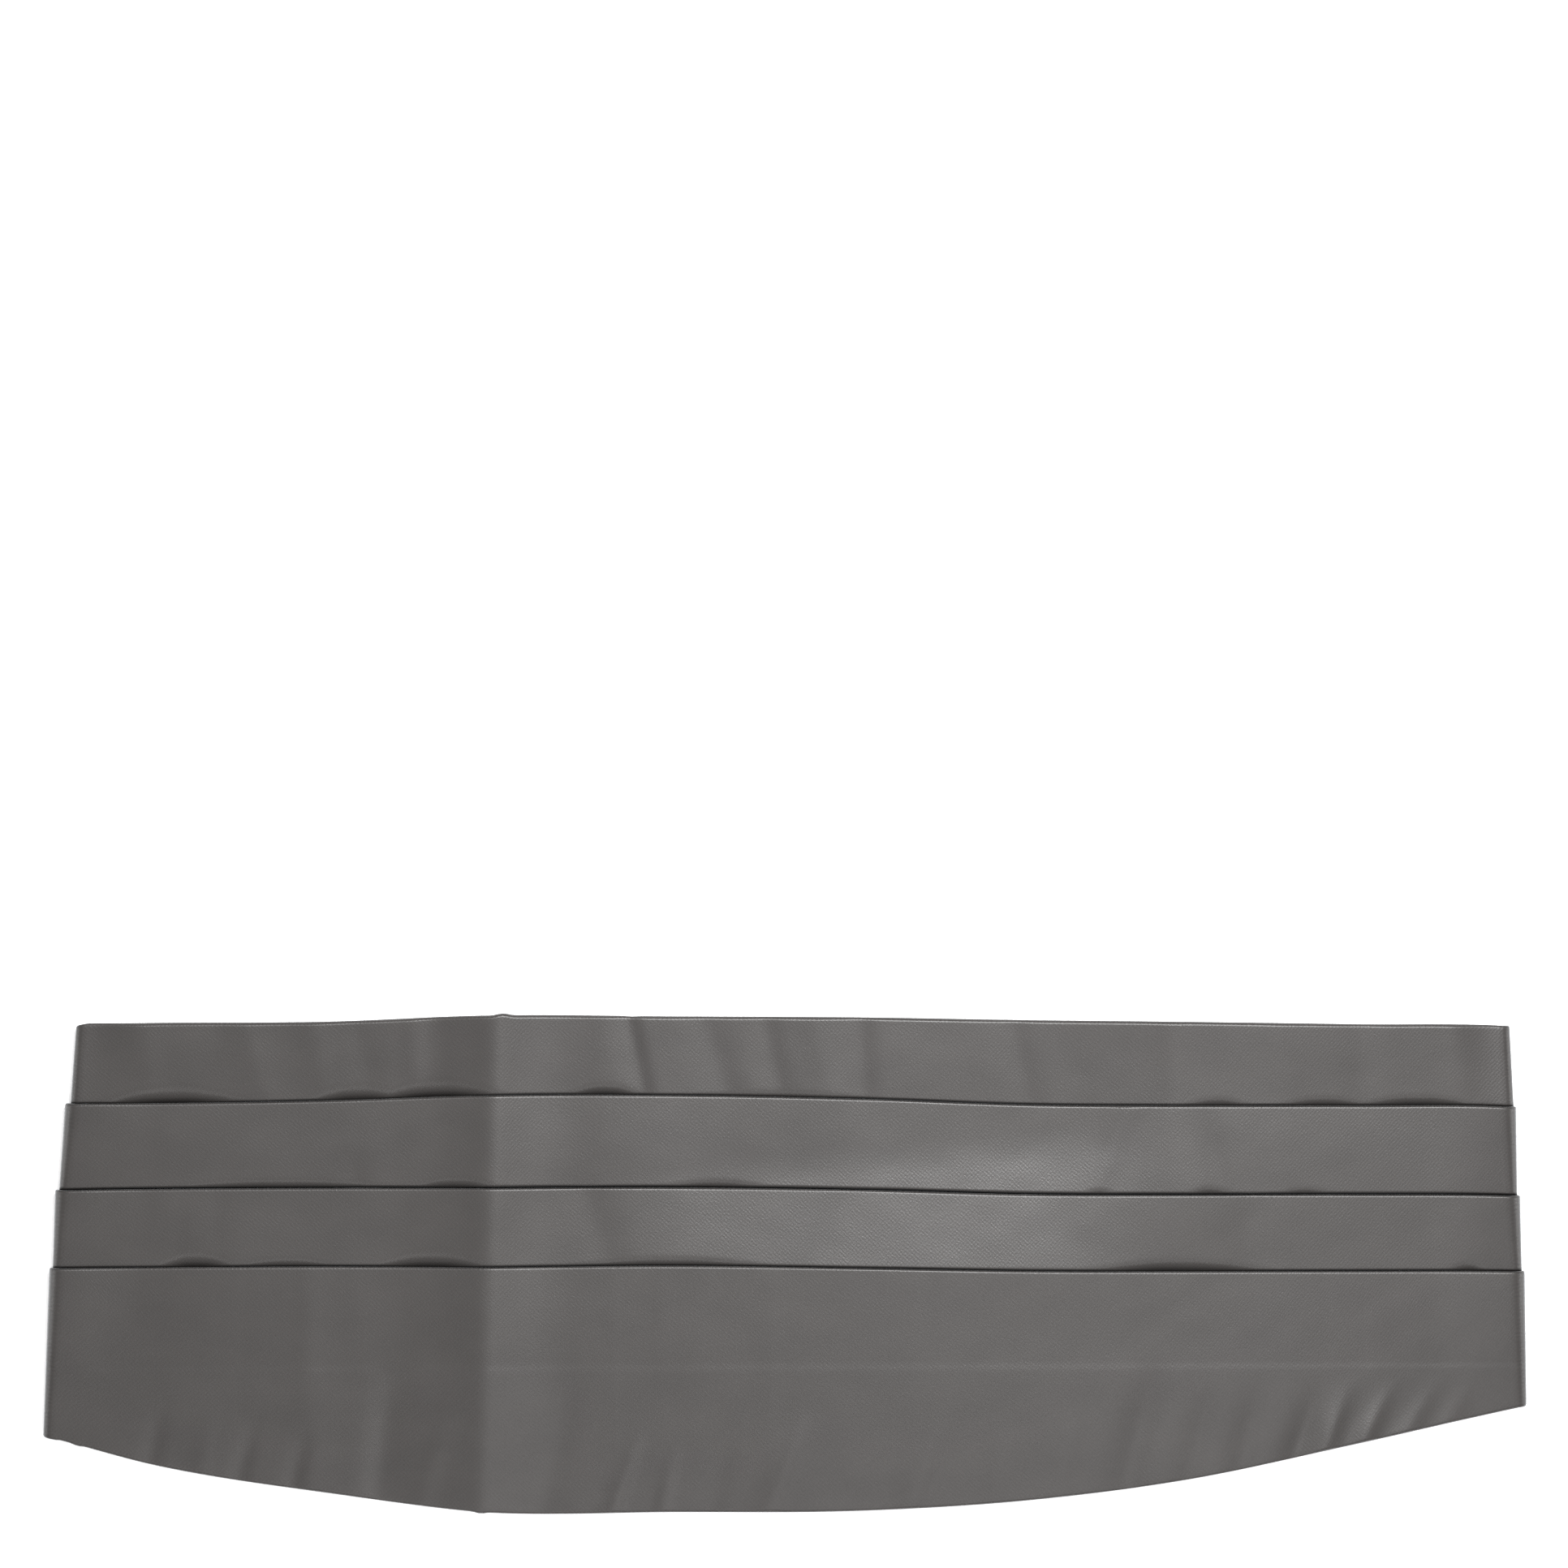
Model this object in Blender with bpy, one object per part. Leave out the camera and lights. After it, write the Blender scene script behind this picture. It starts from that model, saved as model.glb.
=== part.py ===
"""A pleated satin cummerbund, lying face up with both ends folded under and the strap closed behind.

The cloth is laid out as a flat cut. place() then lays that cut on the floor: the front on top, a half
turn at each side edge, and the two ends as wings beneath. Every piece is a wall at its own offset from
that folded surface, so no two of them meet. All sizes are in millimetres and become metres in place().
"""

import math
from collections import namedtuple
from functools import lru_cache

import bmesh
import bpy
import numpy as np

MM = 0.001

# Moves the whole so that its origin is the middle of its footprint
CENTRE_X = 0.25
CENTRE_Y = 0.14

# Thicknesses and gaps
WALL = 1.0
GAP = 0.3
FOLD_RADIUS = 0.8
LOW = GAP
HIGH = LOW + WALL + GAP
STACK = HIGH + WALL
HIDDEN_THICKNESS = 2 * FOLD_RADIUS
HALF_TURN = math.pi * FOLD_RADIUS

# Pleats: how far a tier reaches under the next one, and the slope where it comes down beyond it
PLEAT_DEPTH = 9.0
SLOPE = 6.0
EDGE_ROUND = 0.5
NOSE_ANGLES = (math.radians(50), 0.0, math.radians(-50))
PANEL_SHARES = (0.33, 0.67)
CROSSING_ROUNDS = 4
SHARP_ANGLE = math.radians(35)

# The flat cut, seen from its face, with every line's height at places along it.
# The first and last rows are the ends, which lie folded under.
CutRow = namedtuple("CutRow", "along top fold_1 fold_2 fold_3 bottom")
CUT = (
    CutRow(-308.0, 44.0, 27.5, 11.0, -5.5, -22.0),
    CutRow(-192.0, 62.6, 41.7, 19.1, -1.2, -45.6),
    CutRow(-168.0, 63.0, 41.9, 19.5, -1.0, -51.9),
    CutRow(-118.0, 63.4, 42.7, 19.8, -0.7, -60.1),
    CutRow(-77.5, 65.0, 44.0, 19.8, -0.9, -64.9),
    CutRow(-29.0, 64.7, 44.0, 19.9, -0.5, -64.9),
    CutRow(22.0, 64.4, 43.0, 19.2, -1.2, -64.5),
    CutRow(64.0, 63.7, 41.5, 18.1, -1.9, -61.8),
    CutRow(106.0, 63.3, 41.3, 18.0, -2.0, -56.3),
    CutRow(148.0, 62.7, 41.3, 18.1, -1.9, -47.4),
    CutRow(193.0, 61.8, 40.8, 17.7, -2.0, -37.3),
    CutRow(271.0, 44.0, 27.5, 11.0, -5.5, -22.0),
)

# The two folds: their place along the cut, how far their top leans right, and the wing beyond them
Fold = namedtuple("Fold", "side foot lean wing")
LEFT = Fold(-1, -188.7, math.radians(4.6), 113.0)
RIGHT = Fold(1, 190.0, math.radians(-2.6), 77.0)
FOLDS = (LEFT, RIGHT)
TURN_STEPS = 6
WING_STEP = 25.0

# Stretches of the front and how many columns each is divided into, finer where it is creased
Stretch = namedtuple("Stretch", "start end columns")
STRETCHES = (
    Stretch(LEFT.foot, -94.0, 9),
    Stretch(-94.0, -62.0, 8),
    Stretch(-62.0, 126.0, 19),
    Stretch(126.0, 164.0, 9),
    Stretch(164.0, RIGHT.foot, 3),
)
SHEAR_REACH = 90.0

# Between the wings the front lies lower. Above fold_3 it ramps down to a line, by a share of the ramp's
# depth that varies along it
Ramp = namedtuple("Ramp", "x end amount")
RAMPS = (
    Ramp(-78.0, 20.0, 0.0),
    Ramp(-50.0, 23.0, 0.22),
    Ramp(-12.0, 28.0, 0.75),
    Ramp(39.0, 32.0, 1.0),
    Ramp(66.0, 35.0, 0.97),
    Ramp(112.0, 42.0, 0.0),
)
RAMP_START = -1.0
RAMP_DEPTH = 2.45
RAMP_SOFT_END = 0.25

# The largest creases: a line across the front, its half width, and its height, below 0 for a trough
Crease = namedtuple("Crease", "top_x top_y bottom_x bottom_y half_width height")
CREASES = (
    Crease(-75.2, 66.0, -79.3, -66.0, 14.0, 1.1),
    Crease(-92.0, 66.0, -95.0, 0.0, 9.0, -0.4),
    Crease(-39.0, 66.0, -37.0, 44.0, 7.0, 0.5),
    Crease(20.0, 66.0, 22.0, 44.0, 9.0, 0.4),
    Crease(30.0, 40.0, -40.0, 4.0, 16.0, 0.5),
    Crease(100.0, 44.0, 60.0, 0.0, 16.0, 0.5),
    Crease(-103.0, -20.0, -104.0, -66.0, 8.0, -0.5),
    Crease(-40.0, -20.0, -48.0, -66.0, 9.0, 0.5),
    Crease(143.0, -26.0, 137.0, -52.0, 5.0, 0.7),
    Crease(153.0, -24.0, 148.0, -50.0, 5.0, 0.6),
    Crease(134.0, -28.0, 131.0, -54.0, 4.0, -0.4),
)
CREASE_FADE = 12.0
CREASE_KEEP_OFF = 8.0
CREASE_KEEP_REACH = 20.0

# The hidden layers stop short of the cloth's edge and are round there: inset and share of thickness
EDGE_INSET = 0.8
EDGE_STEPS = ((0.0, 0.4), (0.25, 0.8), (0.8, 1.0))

# The strap and its closing: distances along the strap's path from the left wing
STRAP_WIDTH = 25.0
STRAP_THICKNESS = 1.0
STRAP_END = 122.0
TAB_START = 138.0
HOOK_WIDTH = 9.0
HOOK_THICKNESS = 0.6
HOOK_SEAM = 9.0
HOOK_CLEAR = 0.4
HOOK_BEND = 3.0
HOOK_TONGUE = 3.4
LOOP_START = 124.7
LOOP_LENGTH = 13.0
LOOP_WIDTH = 27.0
LOOP_WIRE = 1.0
LOOP_CORNER = 2.0
LOOP_CORNER_STEPS = 4
PATH_STEP = 7.0

Column = namedtuple("Column", "along shear")
Section = namedtuple("Section", "outer end_nose inner start_nose")


def smoothstep(value):
    """0 below 0, 1 above 1, and a soft S between."""
    share = min(max(value, 0.0), 1.0)
    return share * share * (3 - 2 * share)


@lru_cache(maxsize=None)
def line_table(name):
    """Places, heights and slopes of one line of the cut, from the table's rows."""
    places = np.array([row.along for row in CUT])
    heights = np.array([getattr(row, name) for row in CUT])
    return places, heights, np.gradient(heights, places)


def cut_line(name, along):
    """Height of one line of the cut at a place along it, on a smooth curve through the table."""
    places, heights, slopes = line_table(name)
    first = int(np.clip(np.searchsorted(places, along) - 1, 0, len(places) - 2))
    width = places[first + 1] - places[first]
    share = (along - places[first]) / width
    rise = share * share * (3 - 2 * share)
    start_pull = share * (1 - share) ** 2 * width * slopes[first]
    end_pull = share * share * (share - 1) * width * slopes[first + 1]
    return float(heights[first] * (1 - rise) + heights[first + 1] * rise + start_pull + end_pull)


def column_x(column, y):
    return column.along + column.shear * y


def column_y(column, name):
    """Where a line of the cut crosses a leaning column."""
    y = cut_line(name, column.along)
    for _ in range(CROSSING_ROUNDS):
        y = cut_line(name, column_x(column, y))
    return y


def outward(fold):
    """Unit vector in the plane that points straight out over a fold."""
    return fold.side * math.cos(fold.lean), -fold.side * math.sin(fold.lean)


def beyond(fold, x, y):
    """How far past a fold a point of the cut lies, negative on the front."""
    out_x, out_y = outward(fold)
    return (x - fold.foot) * out_x + y * out_y


def turned(fold, x, y, offset):
    """A point of the cut past a fold: on the half turn or on the wing beneath."""
    out_x, out_y = outward(fold)
    past = beyond(fold, x, y)
    if past < HALF_TURN:
        angle = past / FOLD_RADIUS
        reach = (FOLD_RADIUS + offset) * math.sin(angle)
        z = STACK + FOLD_RADIUS + (FOLD_RADIUS + offset) * math.cos(angle)
    else:
        reach = HALF_TURN - past
        z = STACK - offset
    return x + out_x * (reach - past), y + out_y * (reach - past), z


@lru_cache(maxsize=None)
def wing_corner(fold, name):
    """Where a line of the cut ends, at the far end of a wing, in the plane of the floor."""
    column = wing_columns(fold)[-1]
    y = column_y(column, name)
    return turned(fold, column_x(column, y), y, 0.0)[:2]


def ramp_at(x):
    """Line that the ramp ends on and share of its depth at a place, with a soft S between the table's rows."""
    x = min(max(x, RAMPS[0].x), RAMPS[-1].x)
    for row, following in zip(RAMPS, RAMPS[1:]):
        if x <= following.x:
            break
    share = (x - row.x) / (following.x - row.x)
    end = row.end + (following.end - row.end) * share
    return end, row.amount + (following.amount - row.amount) * smoothstep(share)


def floor_height(x, y):
    """Height of the hidden layers' underside: on the wings, or lower between them over the strap."""
    end, amount = ramp_at(x)
    share = min(max((y - RAMP_START) / (end - RAMP_START), 0.0), 1.0)
    past = max(share - (1 - RAMP_SOFT_END), 0.0)
    return STACK - RAMP_DEPTH * amount * (share - past**2 / (2 * RAMP_SOFT_END))


def crease_height(x, y):
    """Relief of the front: the sum of the creases, none of it near a fold."""
    near_fold = min(-beyond(fold, x, y) for fold in FOLDS)
    keep = smoothstep((near_fold - CREASE_KEEP_OFF) / CREASE_KEEP_REACH)
    total = 0.0
    for crease in CREASES:
        share = (crease.top_y - y) / (crease.top_y - crease.bottom_y)
        line_x = crease.top_x + share * (crease.bottom_x - crease.top_x)
        across = smoothstep(1 - abs(x - line_x) / crease.half_width)
        fade_in = smoothstep((crease.top_y + CREASE_FADE - y) / CREASE_FADE)
        fade_out = smoothstep((y - crease.bottom_y + CREASE_FADE) / CREASE_FADE)
        total += crease.height * across * fade_in * fade_out
    return total * keep


def front_height(x, y):
    return floor_height(x, y) + HIDDEN_THICKNESS + crease_height(x, y)


def place(x, y, offset):
    """A point of the cut at an offset out from the hidden layers, on the folded cummerbund."""
    for fold in FOLDS:
        if beyond(fold, x, y) > 0:
            point = turned(fold, x, y, offset)
            break
    else:
        point = (x, y, front_height(x, y) + offset)
    return tuple(value * MM for value in point)


def front_columns():
    """Columns of the front from fold to fold, leaning more and more like the fold they come near."""
    places = [LEFT.foot]
    for stretch in STRETCHES:
        places.extend(np.linspace(stretch.start, stretch.end, stretch.columns + 1)[1:])
    columns = []
    for along in places:
        shear = 0.0
        for fold in FOLDS:
            share = smoothstep(1 - abs(along - fold.foot) / SHEAR_REACH)
            shear += math.tan(fold.lean) * share
        columns.append(Column(float(along), shear))
    return columns


def past_column(fold, past):
    """The column that lies a given distance past a fold, parallel to it."""
    return Column(fold.foot + fold.side * past / math.cos(fold.lean), math.tan(fold.lean))


def turn_columns(fold):
    return [past_column(fold, HALF_TURN * step / TURN_STEPS) for step in range(1, TURN_STEPS + 1)]


def wing_columns(fold):
    steps = round(fold.wing / WING_STEP)
    return [past_column(fold, HALF_TURN + fold.wing * step / steps) for step in range(1, steps + 1)]


def all_columns():
    left = turn_columns(LEFT) + wing_columns(LEFT)
    return left[::-1] + front_columns() + turn_columns(RIGHT) + wing_columns(RIGHT)


def tier_rows(column, upper, lower, on_tier, tucked):
    """Heights and offsets of a tier from its upper edge down, as (y, offset) pairs.

    on_tier says that its upper edge lies on the tier above, tucked that its lower one lies under the next."""
    top = column_y(column, upper)
    low = column_y(column, lower)
    if on_tier:
        rows = [
            (top - EDGE_ROUND, HIGH),
            (top - PLEAT_DEPTH, HIGH),
            (top - PLEAT_DEPTH - SLOPE / 2, (HIGH + LOW) / 2),
            (top - PLEAT_DEPTH - SLOPE, LOW),
        ]
    else:
        rows = [(top - EDGE_ROUND, LOW), ((top + low) / 2, LOW)]
    if tucked:
        rows += [(low, LOW), (low - PLEAT_DEPTH, LOW)]
    else:
        start = rows[-1][0]
        end = low + EDGE_ROUND
        rows += [(start + (end - start) * share, LOW) for share in (*PANEL_SHARES, 1.0)]
    return rows


def tier_section(column, rows, tucked):
    """The closed outline of a tier's wall on one column."""

    def at(y, offset):
        return place(column_x(column, y), y, offset)

    def nose(row, way):
        y, offset = row
        return [
            at(y + way * EDGE_ROUND * math.cos(angle), offset + WALL / 2 * (1 + math.sin(angle)))
            for angle in NOSE_ANGLES
        ]

    return Section(
        outer=[at(y, offset + WALL) for y, offset in rows],
        end_nose=[] if tucked else nose(rows[-1], -1),
        inner=[at(y, offset) for y, offset in rows],
        start_nose=nose(rows[0], 1),
    )


def loft(name, sections, material):
    """A closed solid through like sections. Outer and inner faces are split along the same diagonals."""
    mesh = bmesh.new()
    rings = []
    for section in sections:
        ring = section.outer + section.end_nose + section.inner[::-1] + section.start_nose[::-1]
        rings.append([mesh.verts.new(point) for point in ring])
    outer_count = len(sections[0].outer)
    ring_count = len(rings[0])
    for ring, following in zip(rings, rings[1:]):
        for index in range(ring_count):
            after = (index + 1) % ring_count
            corners = [ring[index], following[index], following[after], ring[after]]
            if index >= outer_count:
                corners = corners[1:] + corners[:1]
            mesh.faces.new(corners)
    end_count = len(sections[0].end_nose)
    for ring in (rings[0], rings[-1]):
        outer = ring[:outer_count]
        end_nose = ring[outer_count : outer_count + end_count]
        inner = ring[outer_count + end_count :][:outer_count][::-1]
        start_nose = ring[2 * outer_count + end_count :][::-1]
        for index in range(outer_count - 1):
            mesh.faces.new((outer[index], outer[index + 1], inner[index + 1], inner[index]))
        if end_nose:
            mesh.faces.new([outer[-1]] + end_nose + [inner[-1]])
        if start_nose:
            mesh.faces.new([outer[0]] + start_nose + [inner[0]])
    bmesh.ops.recalc_face_normals(mesh, faces=mesh.faces[:])
    data = bpy.data.meshes.new(name)
    mesh.to_mesh(data)
    mesh.free()
    data.shade_smooth()
    data.set_sharp_from_angle(angle=SHARP_ANGLE)
    return add_object(name, data, material)


def add_object(name, data, material):
    data.materials.append(material)
    made = bpy.data.objects.new(name, data)
    made.location = (CENTRE_X * MM, CENTRE_Y * MM, 0.0)
    collection.objects.link(made)
    return made


def new_material(name, colour, roughness, metallic=0.0):
    material = bpy.data.materials.new(name)
    material.use_nodes = True
    shader = material.node_tree.nodes["Principled BSDF"]
    shader.inputs["Base Color"].default_value = (*colour, 1.0)
    shader.inputs["Roughness"].default_value = roughness
    shader.inputs["Metallic"].default_value = metallic
    return material


def make_tier(name, upper, lower, on_tier, tucked, material):
    sections = []
    for column in all_columns():
        rows = tier_rows(column, upper, lower, on_tier, tucked)
        sections.append(tier_section(column, rows, tucked))
    return loft(name, sections, material)


def hidden_rows(column):
    """Heights of the hidden layers' rows on one column, each with its share of the thickness."""
    top = column_y(column, "top") - EDGE_INSET
    bottom = column_y(column, "bottom") + EDGE_INSET
    rows = [(top - inset, share) for inset, share in EDGE_STEPS]
    rows.append(((top + column_y(column, "fold_1")) / 2, 1.0))
    for name in ("fold_1", "fold_2", "fold_3"):
        fold_y = column_y(column, name)
        rows += [(fold_y, 1.0), (fold_y - PLEAT_DEPTH, 1.0), (fold_y - PLEAT_DEPTH - SLOPE, 1.0)]
    start = rows[-1][0]
    rows += [(start + (bottom - start) * share, 1.0) for share in PANEL_SHARES]
    rows += [(bottom + inset, share) for inset, share in EDGE_STEPS[::-1]]
    return rows


def hidden_turn(fold, y, share):
    """Points of the half-round end of the hidden layers at one row, from the top down."""
    out_x, out_y = outward(fold)
    x = fold.foot + math.tan(fold.lean) * y
    points = []
    for step in range(1, TURN_STEPS):
        angle = math.pi * step / TURN_STEPS
        reach = FOLD_RADIUS * share * math.sin(angle)
        z = STACK + FOLD_RADIUS + FOLD_RADIUS * share * math.cos(angle)
        points.append(((x + out_x * reach) * MM, (y + out_y * reach) * MM, z * MM))
    return points


def make_hidden_layers(material):
    """Backing, pleat folds and the wings' own backing, pressed into one rounded solid."""
    columns = front_columns()
    by_column = [hidden_rows(column) for column in columns]
    sections = []
    for row in range(len(by_column[0])):
        outer, inner = [], []
        for column, rows in zip(columns, by_column):
            y, share = rows[row]
            x = column_x(column, y)
            low, high = floor_height(x, y), front_height(x, y)
            middle, half = (low + high) / 2, (high - low) / 2 * share
            outer.append((x * MM, y * MM, (middle + half) * MM))
            inner.append((x * MM, y * MM, (middle - half) * MM))
        sections.append(
            Section(
                outer=outer,
                end_nose=hidden_turn(RIGHT, *by_column[-1][row]),
                inner=inner,
                start_nose=hidden_turn(LEFT, *by_column[0][row]),
            )
        )
    return loft("hidden_layers", sections, material)


def wing_middle(fold):
    """The middle of a wing's end, one gap off it, and the way that the strap leaves it."""
    top = np.array(wing_corner(fold, "top"))
    bottom = np.array(wing_corner(fold, "bottom"))
    out = np.array(outward(fold))
    return (top + bottom) / 2 - out * GAP, -out


def strap_path(distance):
    """Point and direction of the strap at a distance from the left wing, on one soft bend."""
    start, start_way = wing_middle(LEFT)
    end, end_way = wing_middle(RIGHT)
    length = float(np.linalg.norm(end - start))
    share = distance / length
    pull_start, pull_end = start_way * length, -end_way * length
    point = (
        start * (1 - 3 * share**2 + 2 * share**3)
        + end * (3 * share**2 - 2 * share**3)
        + pull_start * share * (1 - share) ** 2
        - pull_end * share**2 * (1 - share)
    )
    way = (
        (end - start) * 6 * share * (1 - share)
        + pull_start * (1 - share) * (1 - 3 * share)
        - pull_end * share * (2 - 3 * share)
    )
    return point, way / np.linalg.norm(way)


def strap_length():
    start, _ = wing_middle(LEFT)
    end, _ = wing_middle(RIGHT)
    return float(np.linalg.norm(end - start))


def band(name, stations, width, thickness, material):
    """A flat band along the strap's path. Each station is (distance, height of its underside)."""
    sections = []
    for distance, low in stations:
        point, way = strap_path(distance)
        across = np.array((-way[1], way[0]))

        def at(sideways, z):
            x, y = point + across * sideways
            return x * MM, y * MM, z * MM

        half = width / 2 - thickness / 2
        sides = {}
        for side in (1, -1):
            sides[side] = [
                at(
                    side * (half + thickness / 2 * math.cos(angle)),
                    low + thickness / 2 * (1 + math.sin(angle)),
                )
                for angle in NOSE_ANGLES
            ]
        sections.append(
            Section(
                outer=[at(half, low + thickness), at(-half, low + thickness)],
                end_nose=sides[-1],
                inner=[at(half, low), at(-half, low)],
                start_nose=sides[1],
            )
        )
    return loft(name, sections, material)


def flat_stations(start, end, low):
    steps = max(1, round((end - start) / PATH_STEP))
    return [(start + (end - start) * step / steps, low) for step in range(steps + 1)]


def make_hook(material):
    """A flat hook: its plate on the strap's end and over the loop's near wire, its tongue down inside it."""
    high = STRAP_THICKNESS + GAP
    low = STRAP_THICKNESS - HOOK_THICKNESS
    plate_end = LOOP_START + LOOP_WIRE + HOOK_CLEAR
    tongue_start = plate_end + HOOK_BEND
    stations = [
        (STRAP_END - HOOK_SEAM, high),
        (plate_end, high),
        (tongue_start, low),
        (tongue_start + HOOK_TONGUE, low),
    ]
    return band("hook", stations, HOOK_WIDTH, HOOK_THICKNESS, material)


def make_loop(material):
    """A wire loop with round corners, lying between the strap's end and the tab's."""
    curve = bpy.data.curves.new("loop", "CURVE")
    curve.dimensions = "3D"
    curve.bevel_depth = LOOP_WIRE / 2 * MM
    curve.bevel_resolution = 2
    centre, way = strap_path(LOOP_START + LOOP_LENGTH / 2)
    across = np.array((-way[1], way[0]))
    half_length = LOOP_LENGTH / 2 - LOOP_CORNER - LOOP_WIRE / 2
    half_width = LOOP_WIDTH / 2 - LOOP_CORNER - LOOP_WIRE / 2
    z = LOOP_WIRE / 2
    points = []
    for quarter, (along_sign, across_sign) in enumerate(((1, 1), (-1, 1), (-1, -1), (1, -1))):
        for step in range(LOOP_CORNER_STEPS + 1):
            angle = math.pi / 2 * (quarter + step / LOOP_CORNER_STEPS)
            forward = along_sign * half_length + LOOP_CORNER * math.cos(angle)
            sideways = across_sign * half_width + LOOP_CORNER * math.sin(angle)
            x, y = centre + way * forward + across * sideways
            points.append((x * MM, y * MM, z * MM, 1.0))
    spline = curve.splines.new("POLY")
    spline.points.add(len(points) - 1)
    for target, point in zip(spline.points, points):
        target.co = point
    spline.use_cyclic_u = True
    return add_object("loop", curve, material)


for old in list(bpy.data.objects):
    bpy.data.objects.remove(old, do_unlink=True)

collection = bpy.data.collections.new("cummerbund")
bpy.context.scene.collection.children.link(collection)

satin = new_material("grey_satin", (0.135, 0.130, 0.128), 0.42)
backing = new_material("grey_backing", (0.090, 0.086, 0.085), 0.70)
strap_cloth = new_material("strap_cloth", (0.120, 0.115, 0.113), 0.55)
metal = new_material("nickel", (0.62, 0.61, 0.60), 0.28, metallic=1.0)

make_tier("top_band", "top", "fold_1", on_tier=False, tucked=True, material=satin)
make_tier("pleat_upper", "fold_1", "fold_2", on_tier=True, tucked=True, material=satin)
make_tier("pleat_lower", "fold_2", "fold_3", on_tier=True, tucked=True, material=satin)
make_tier("lower_panel", "fold_3", "bottom", on_tier=True, tucked=False, material=satin)
make_hidden_layers(backing)
band("strap", flat_stations(0.0, STRAP_END, 0.0), STRAP_WIDTH, STRAP_THICKNESS, strap_cloth)
band("tab", flat_stations(TAB_START, strap_length(), 0.0), STRAP_WIDTH, STRAP_THICKNESS, strap_cloth)
make_hook(metal)
make_loop(metal)
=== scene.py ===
"""The looks of the pleated satin cummerbund: thin cloth shells, lining, elastic strap, materials, light.

The cloth is laid out as the same flat cut as its solids and then folded onto them: the front on top, a
half turn at each side edge and the two ends as wings beneath. Sizes are in millimetres until placed().
"""

import math
from collections import namedtuple
from functools import lru_cache

import bmesh
import bpy
import numpy as np
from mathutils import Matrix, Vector


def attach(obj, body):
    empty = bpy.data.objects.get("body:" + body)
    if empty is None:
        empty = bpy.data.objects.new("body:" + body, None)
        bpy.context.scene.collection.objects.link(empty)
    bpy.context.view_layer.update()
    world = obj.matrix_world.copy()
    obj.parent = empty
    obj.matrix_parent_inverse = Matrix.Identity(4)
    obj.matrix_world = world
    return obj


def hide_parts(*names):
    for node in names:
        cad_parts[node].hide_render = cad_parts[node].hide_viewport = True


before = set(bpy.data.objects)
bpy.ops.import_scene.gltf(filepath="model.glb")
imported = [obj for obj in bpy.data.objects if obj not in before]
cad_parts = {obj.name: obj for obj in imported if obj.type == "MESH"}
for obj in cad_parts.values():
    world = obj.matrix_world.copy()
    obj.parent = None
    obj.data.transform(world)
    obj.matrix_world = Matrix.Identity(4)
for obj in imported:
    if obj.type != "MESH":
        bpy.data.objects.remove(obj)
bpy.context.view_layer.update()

MM = 0.001

# The folded cut, with the same values as its solids
CENTRE_X = 0.25
CENTRE_Y = 0.14
WALL = 1.0
GAP = 0.3
FOLD_RADIUS = 0.8
LOW = GAP
HIGH = LOW + WALL + GAP
STACK = HIGH + WALL
HIDDEN_THICKNESS = 2 * FOLD_RADIUS
HALF_TURN = math.pi * FOLD_RADIUS
PLEAT_DEPTH = 9.0
CROSSING_ROUNDS = 4

CutRow = namedtuple("CutRow", "along top fold_1 fold_2 fold_3 bottom")
CUT = (
    CutRow(-308.0, 44.0, 27.5, 11.0, -5.5, -22.0),
    CutRow(-192.0, 62.6, 41.7, 19.1, -1.2, -45.6),
    CutRow(-168.0, 63.0, 41.9, 19.5, -1.0, -51.9),
    CutRow(-118.0, 63.4, 42.7, 19.8, -0.7, -60.1),
    CutRow(-77.5, 65.0, 44.0, 19.8, -0.9, -64.9),
    CutRow(-29.0, 64.7, 44.0, 19.9, -0.5, -64.9),
    CutRow(22.0, 64.4, 43.0, 19.2, -1.2, -64.5),
    CutRow(64.0, 63.7, 41.5, 18.1, -1.9, -61.8),
    CutRow(106.0, 63.3, 41.3, 18.0, -2.0, -56.3),
    CutRow(148.0, 62.7, 41.3, 18.1, -1.9, -47.4),
    CutRow(193.0, 61.8, 40.8, 17.7, -2.0, -37.3),
    CutRow(271.0, 44.0, 27.5, 11.0, -5.5, -22.0),
)

# The side folds: which way is out, where each crosses y = 0, how it leans, how long its folded end is, and
# how far from a fold the columns of the cut still lean with it
Fold = namedtuple("Fold", "side foot lean wing")
LEFT = Fold(-1, -188.7, math.radians(4.6), 113.0)
RIGHT = Fold(1, 190.0, math.radians(-2.6), 77.0)
FOLDS = (LEFT, RIGHT)
SHEAR_REACH = 90.0

# Between the wings the front lies lower. Above fold_3 it ramps down to a line, by a share of the ramp's
# depth that varies along it
Ramp = namedtuple("Ramp", "x end amount")
RAMPS = (
    Ramp(-78.0, 20.0, 0.0),
    Ramp(-50.0, 23.0, 0.22),
    Ramp(-12.0, 28.0, 0.75),
    Ramp(39.0, 32.0, 1.0),
    Ramp(66.0, 35.0, 0.97),
    Ramp(112.0, 42.0, 0.0),
)
RAMP_START = -1.0
RAMP_DEPTH = 2.45
RAMP_SOFT_END = 0.25

# How finely the shells are divided
FRONT_STEP = 1.25
TURN_STEPS = 12
WING_STEP = 6.0
ROW_STEP = 0.95
NEAR_FOLD = (0.0, 0.2, 0.45, 0.75, 1.1, 1.6, 2.2, 3.0, 3.8)
NEAR_LIP = (2.4, 1.8, 1.3, 0.9, 0.55, 0.25, 0.0)
NOSE_STEPS = 6

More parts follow.
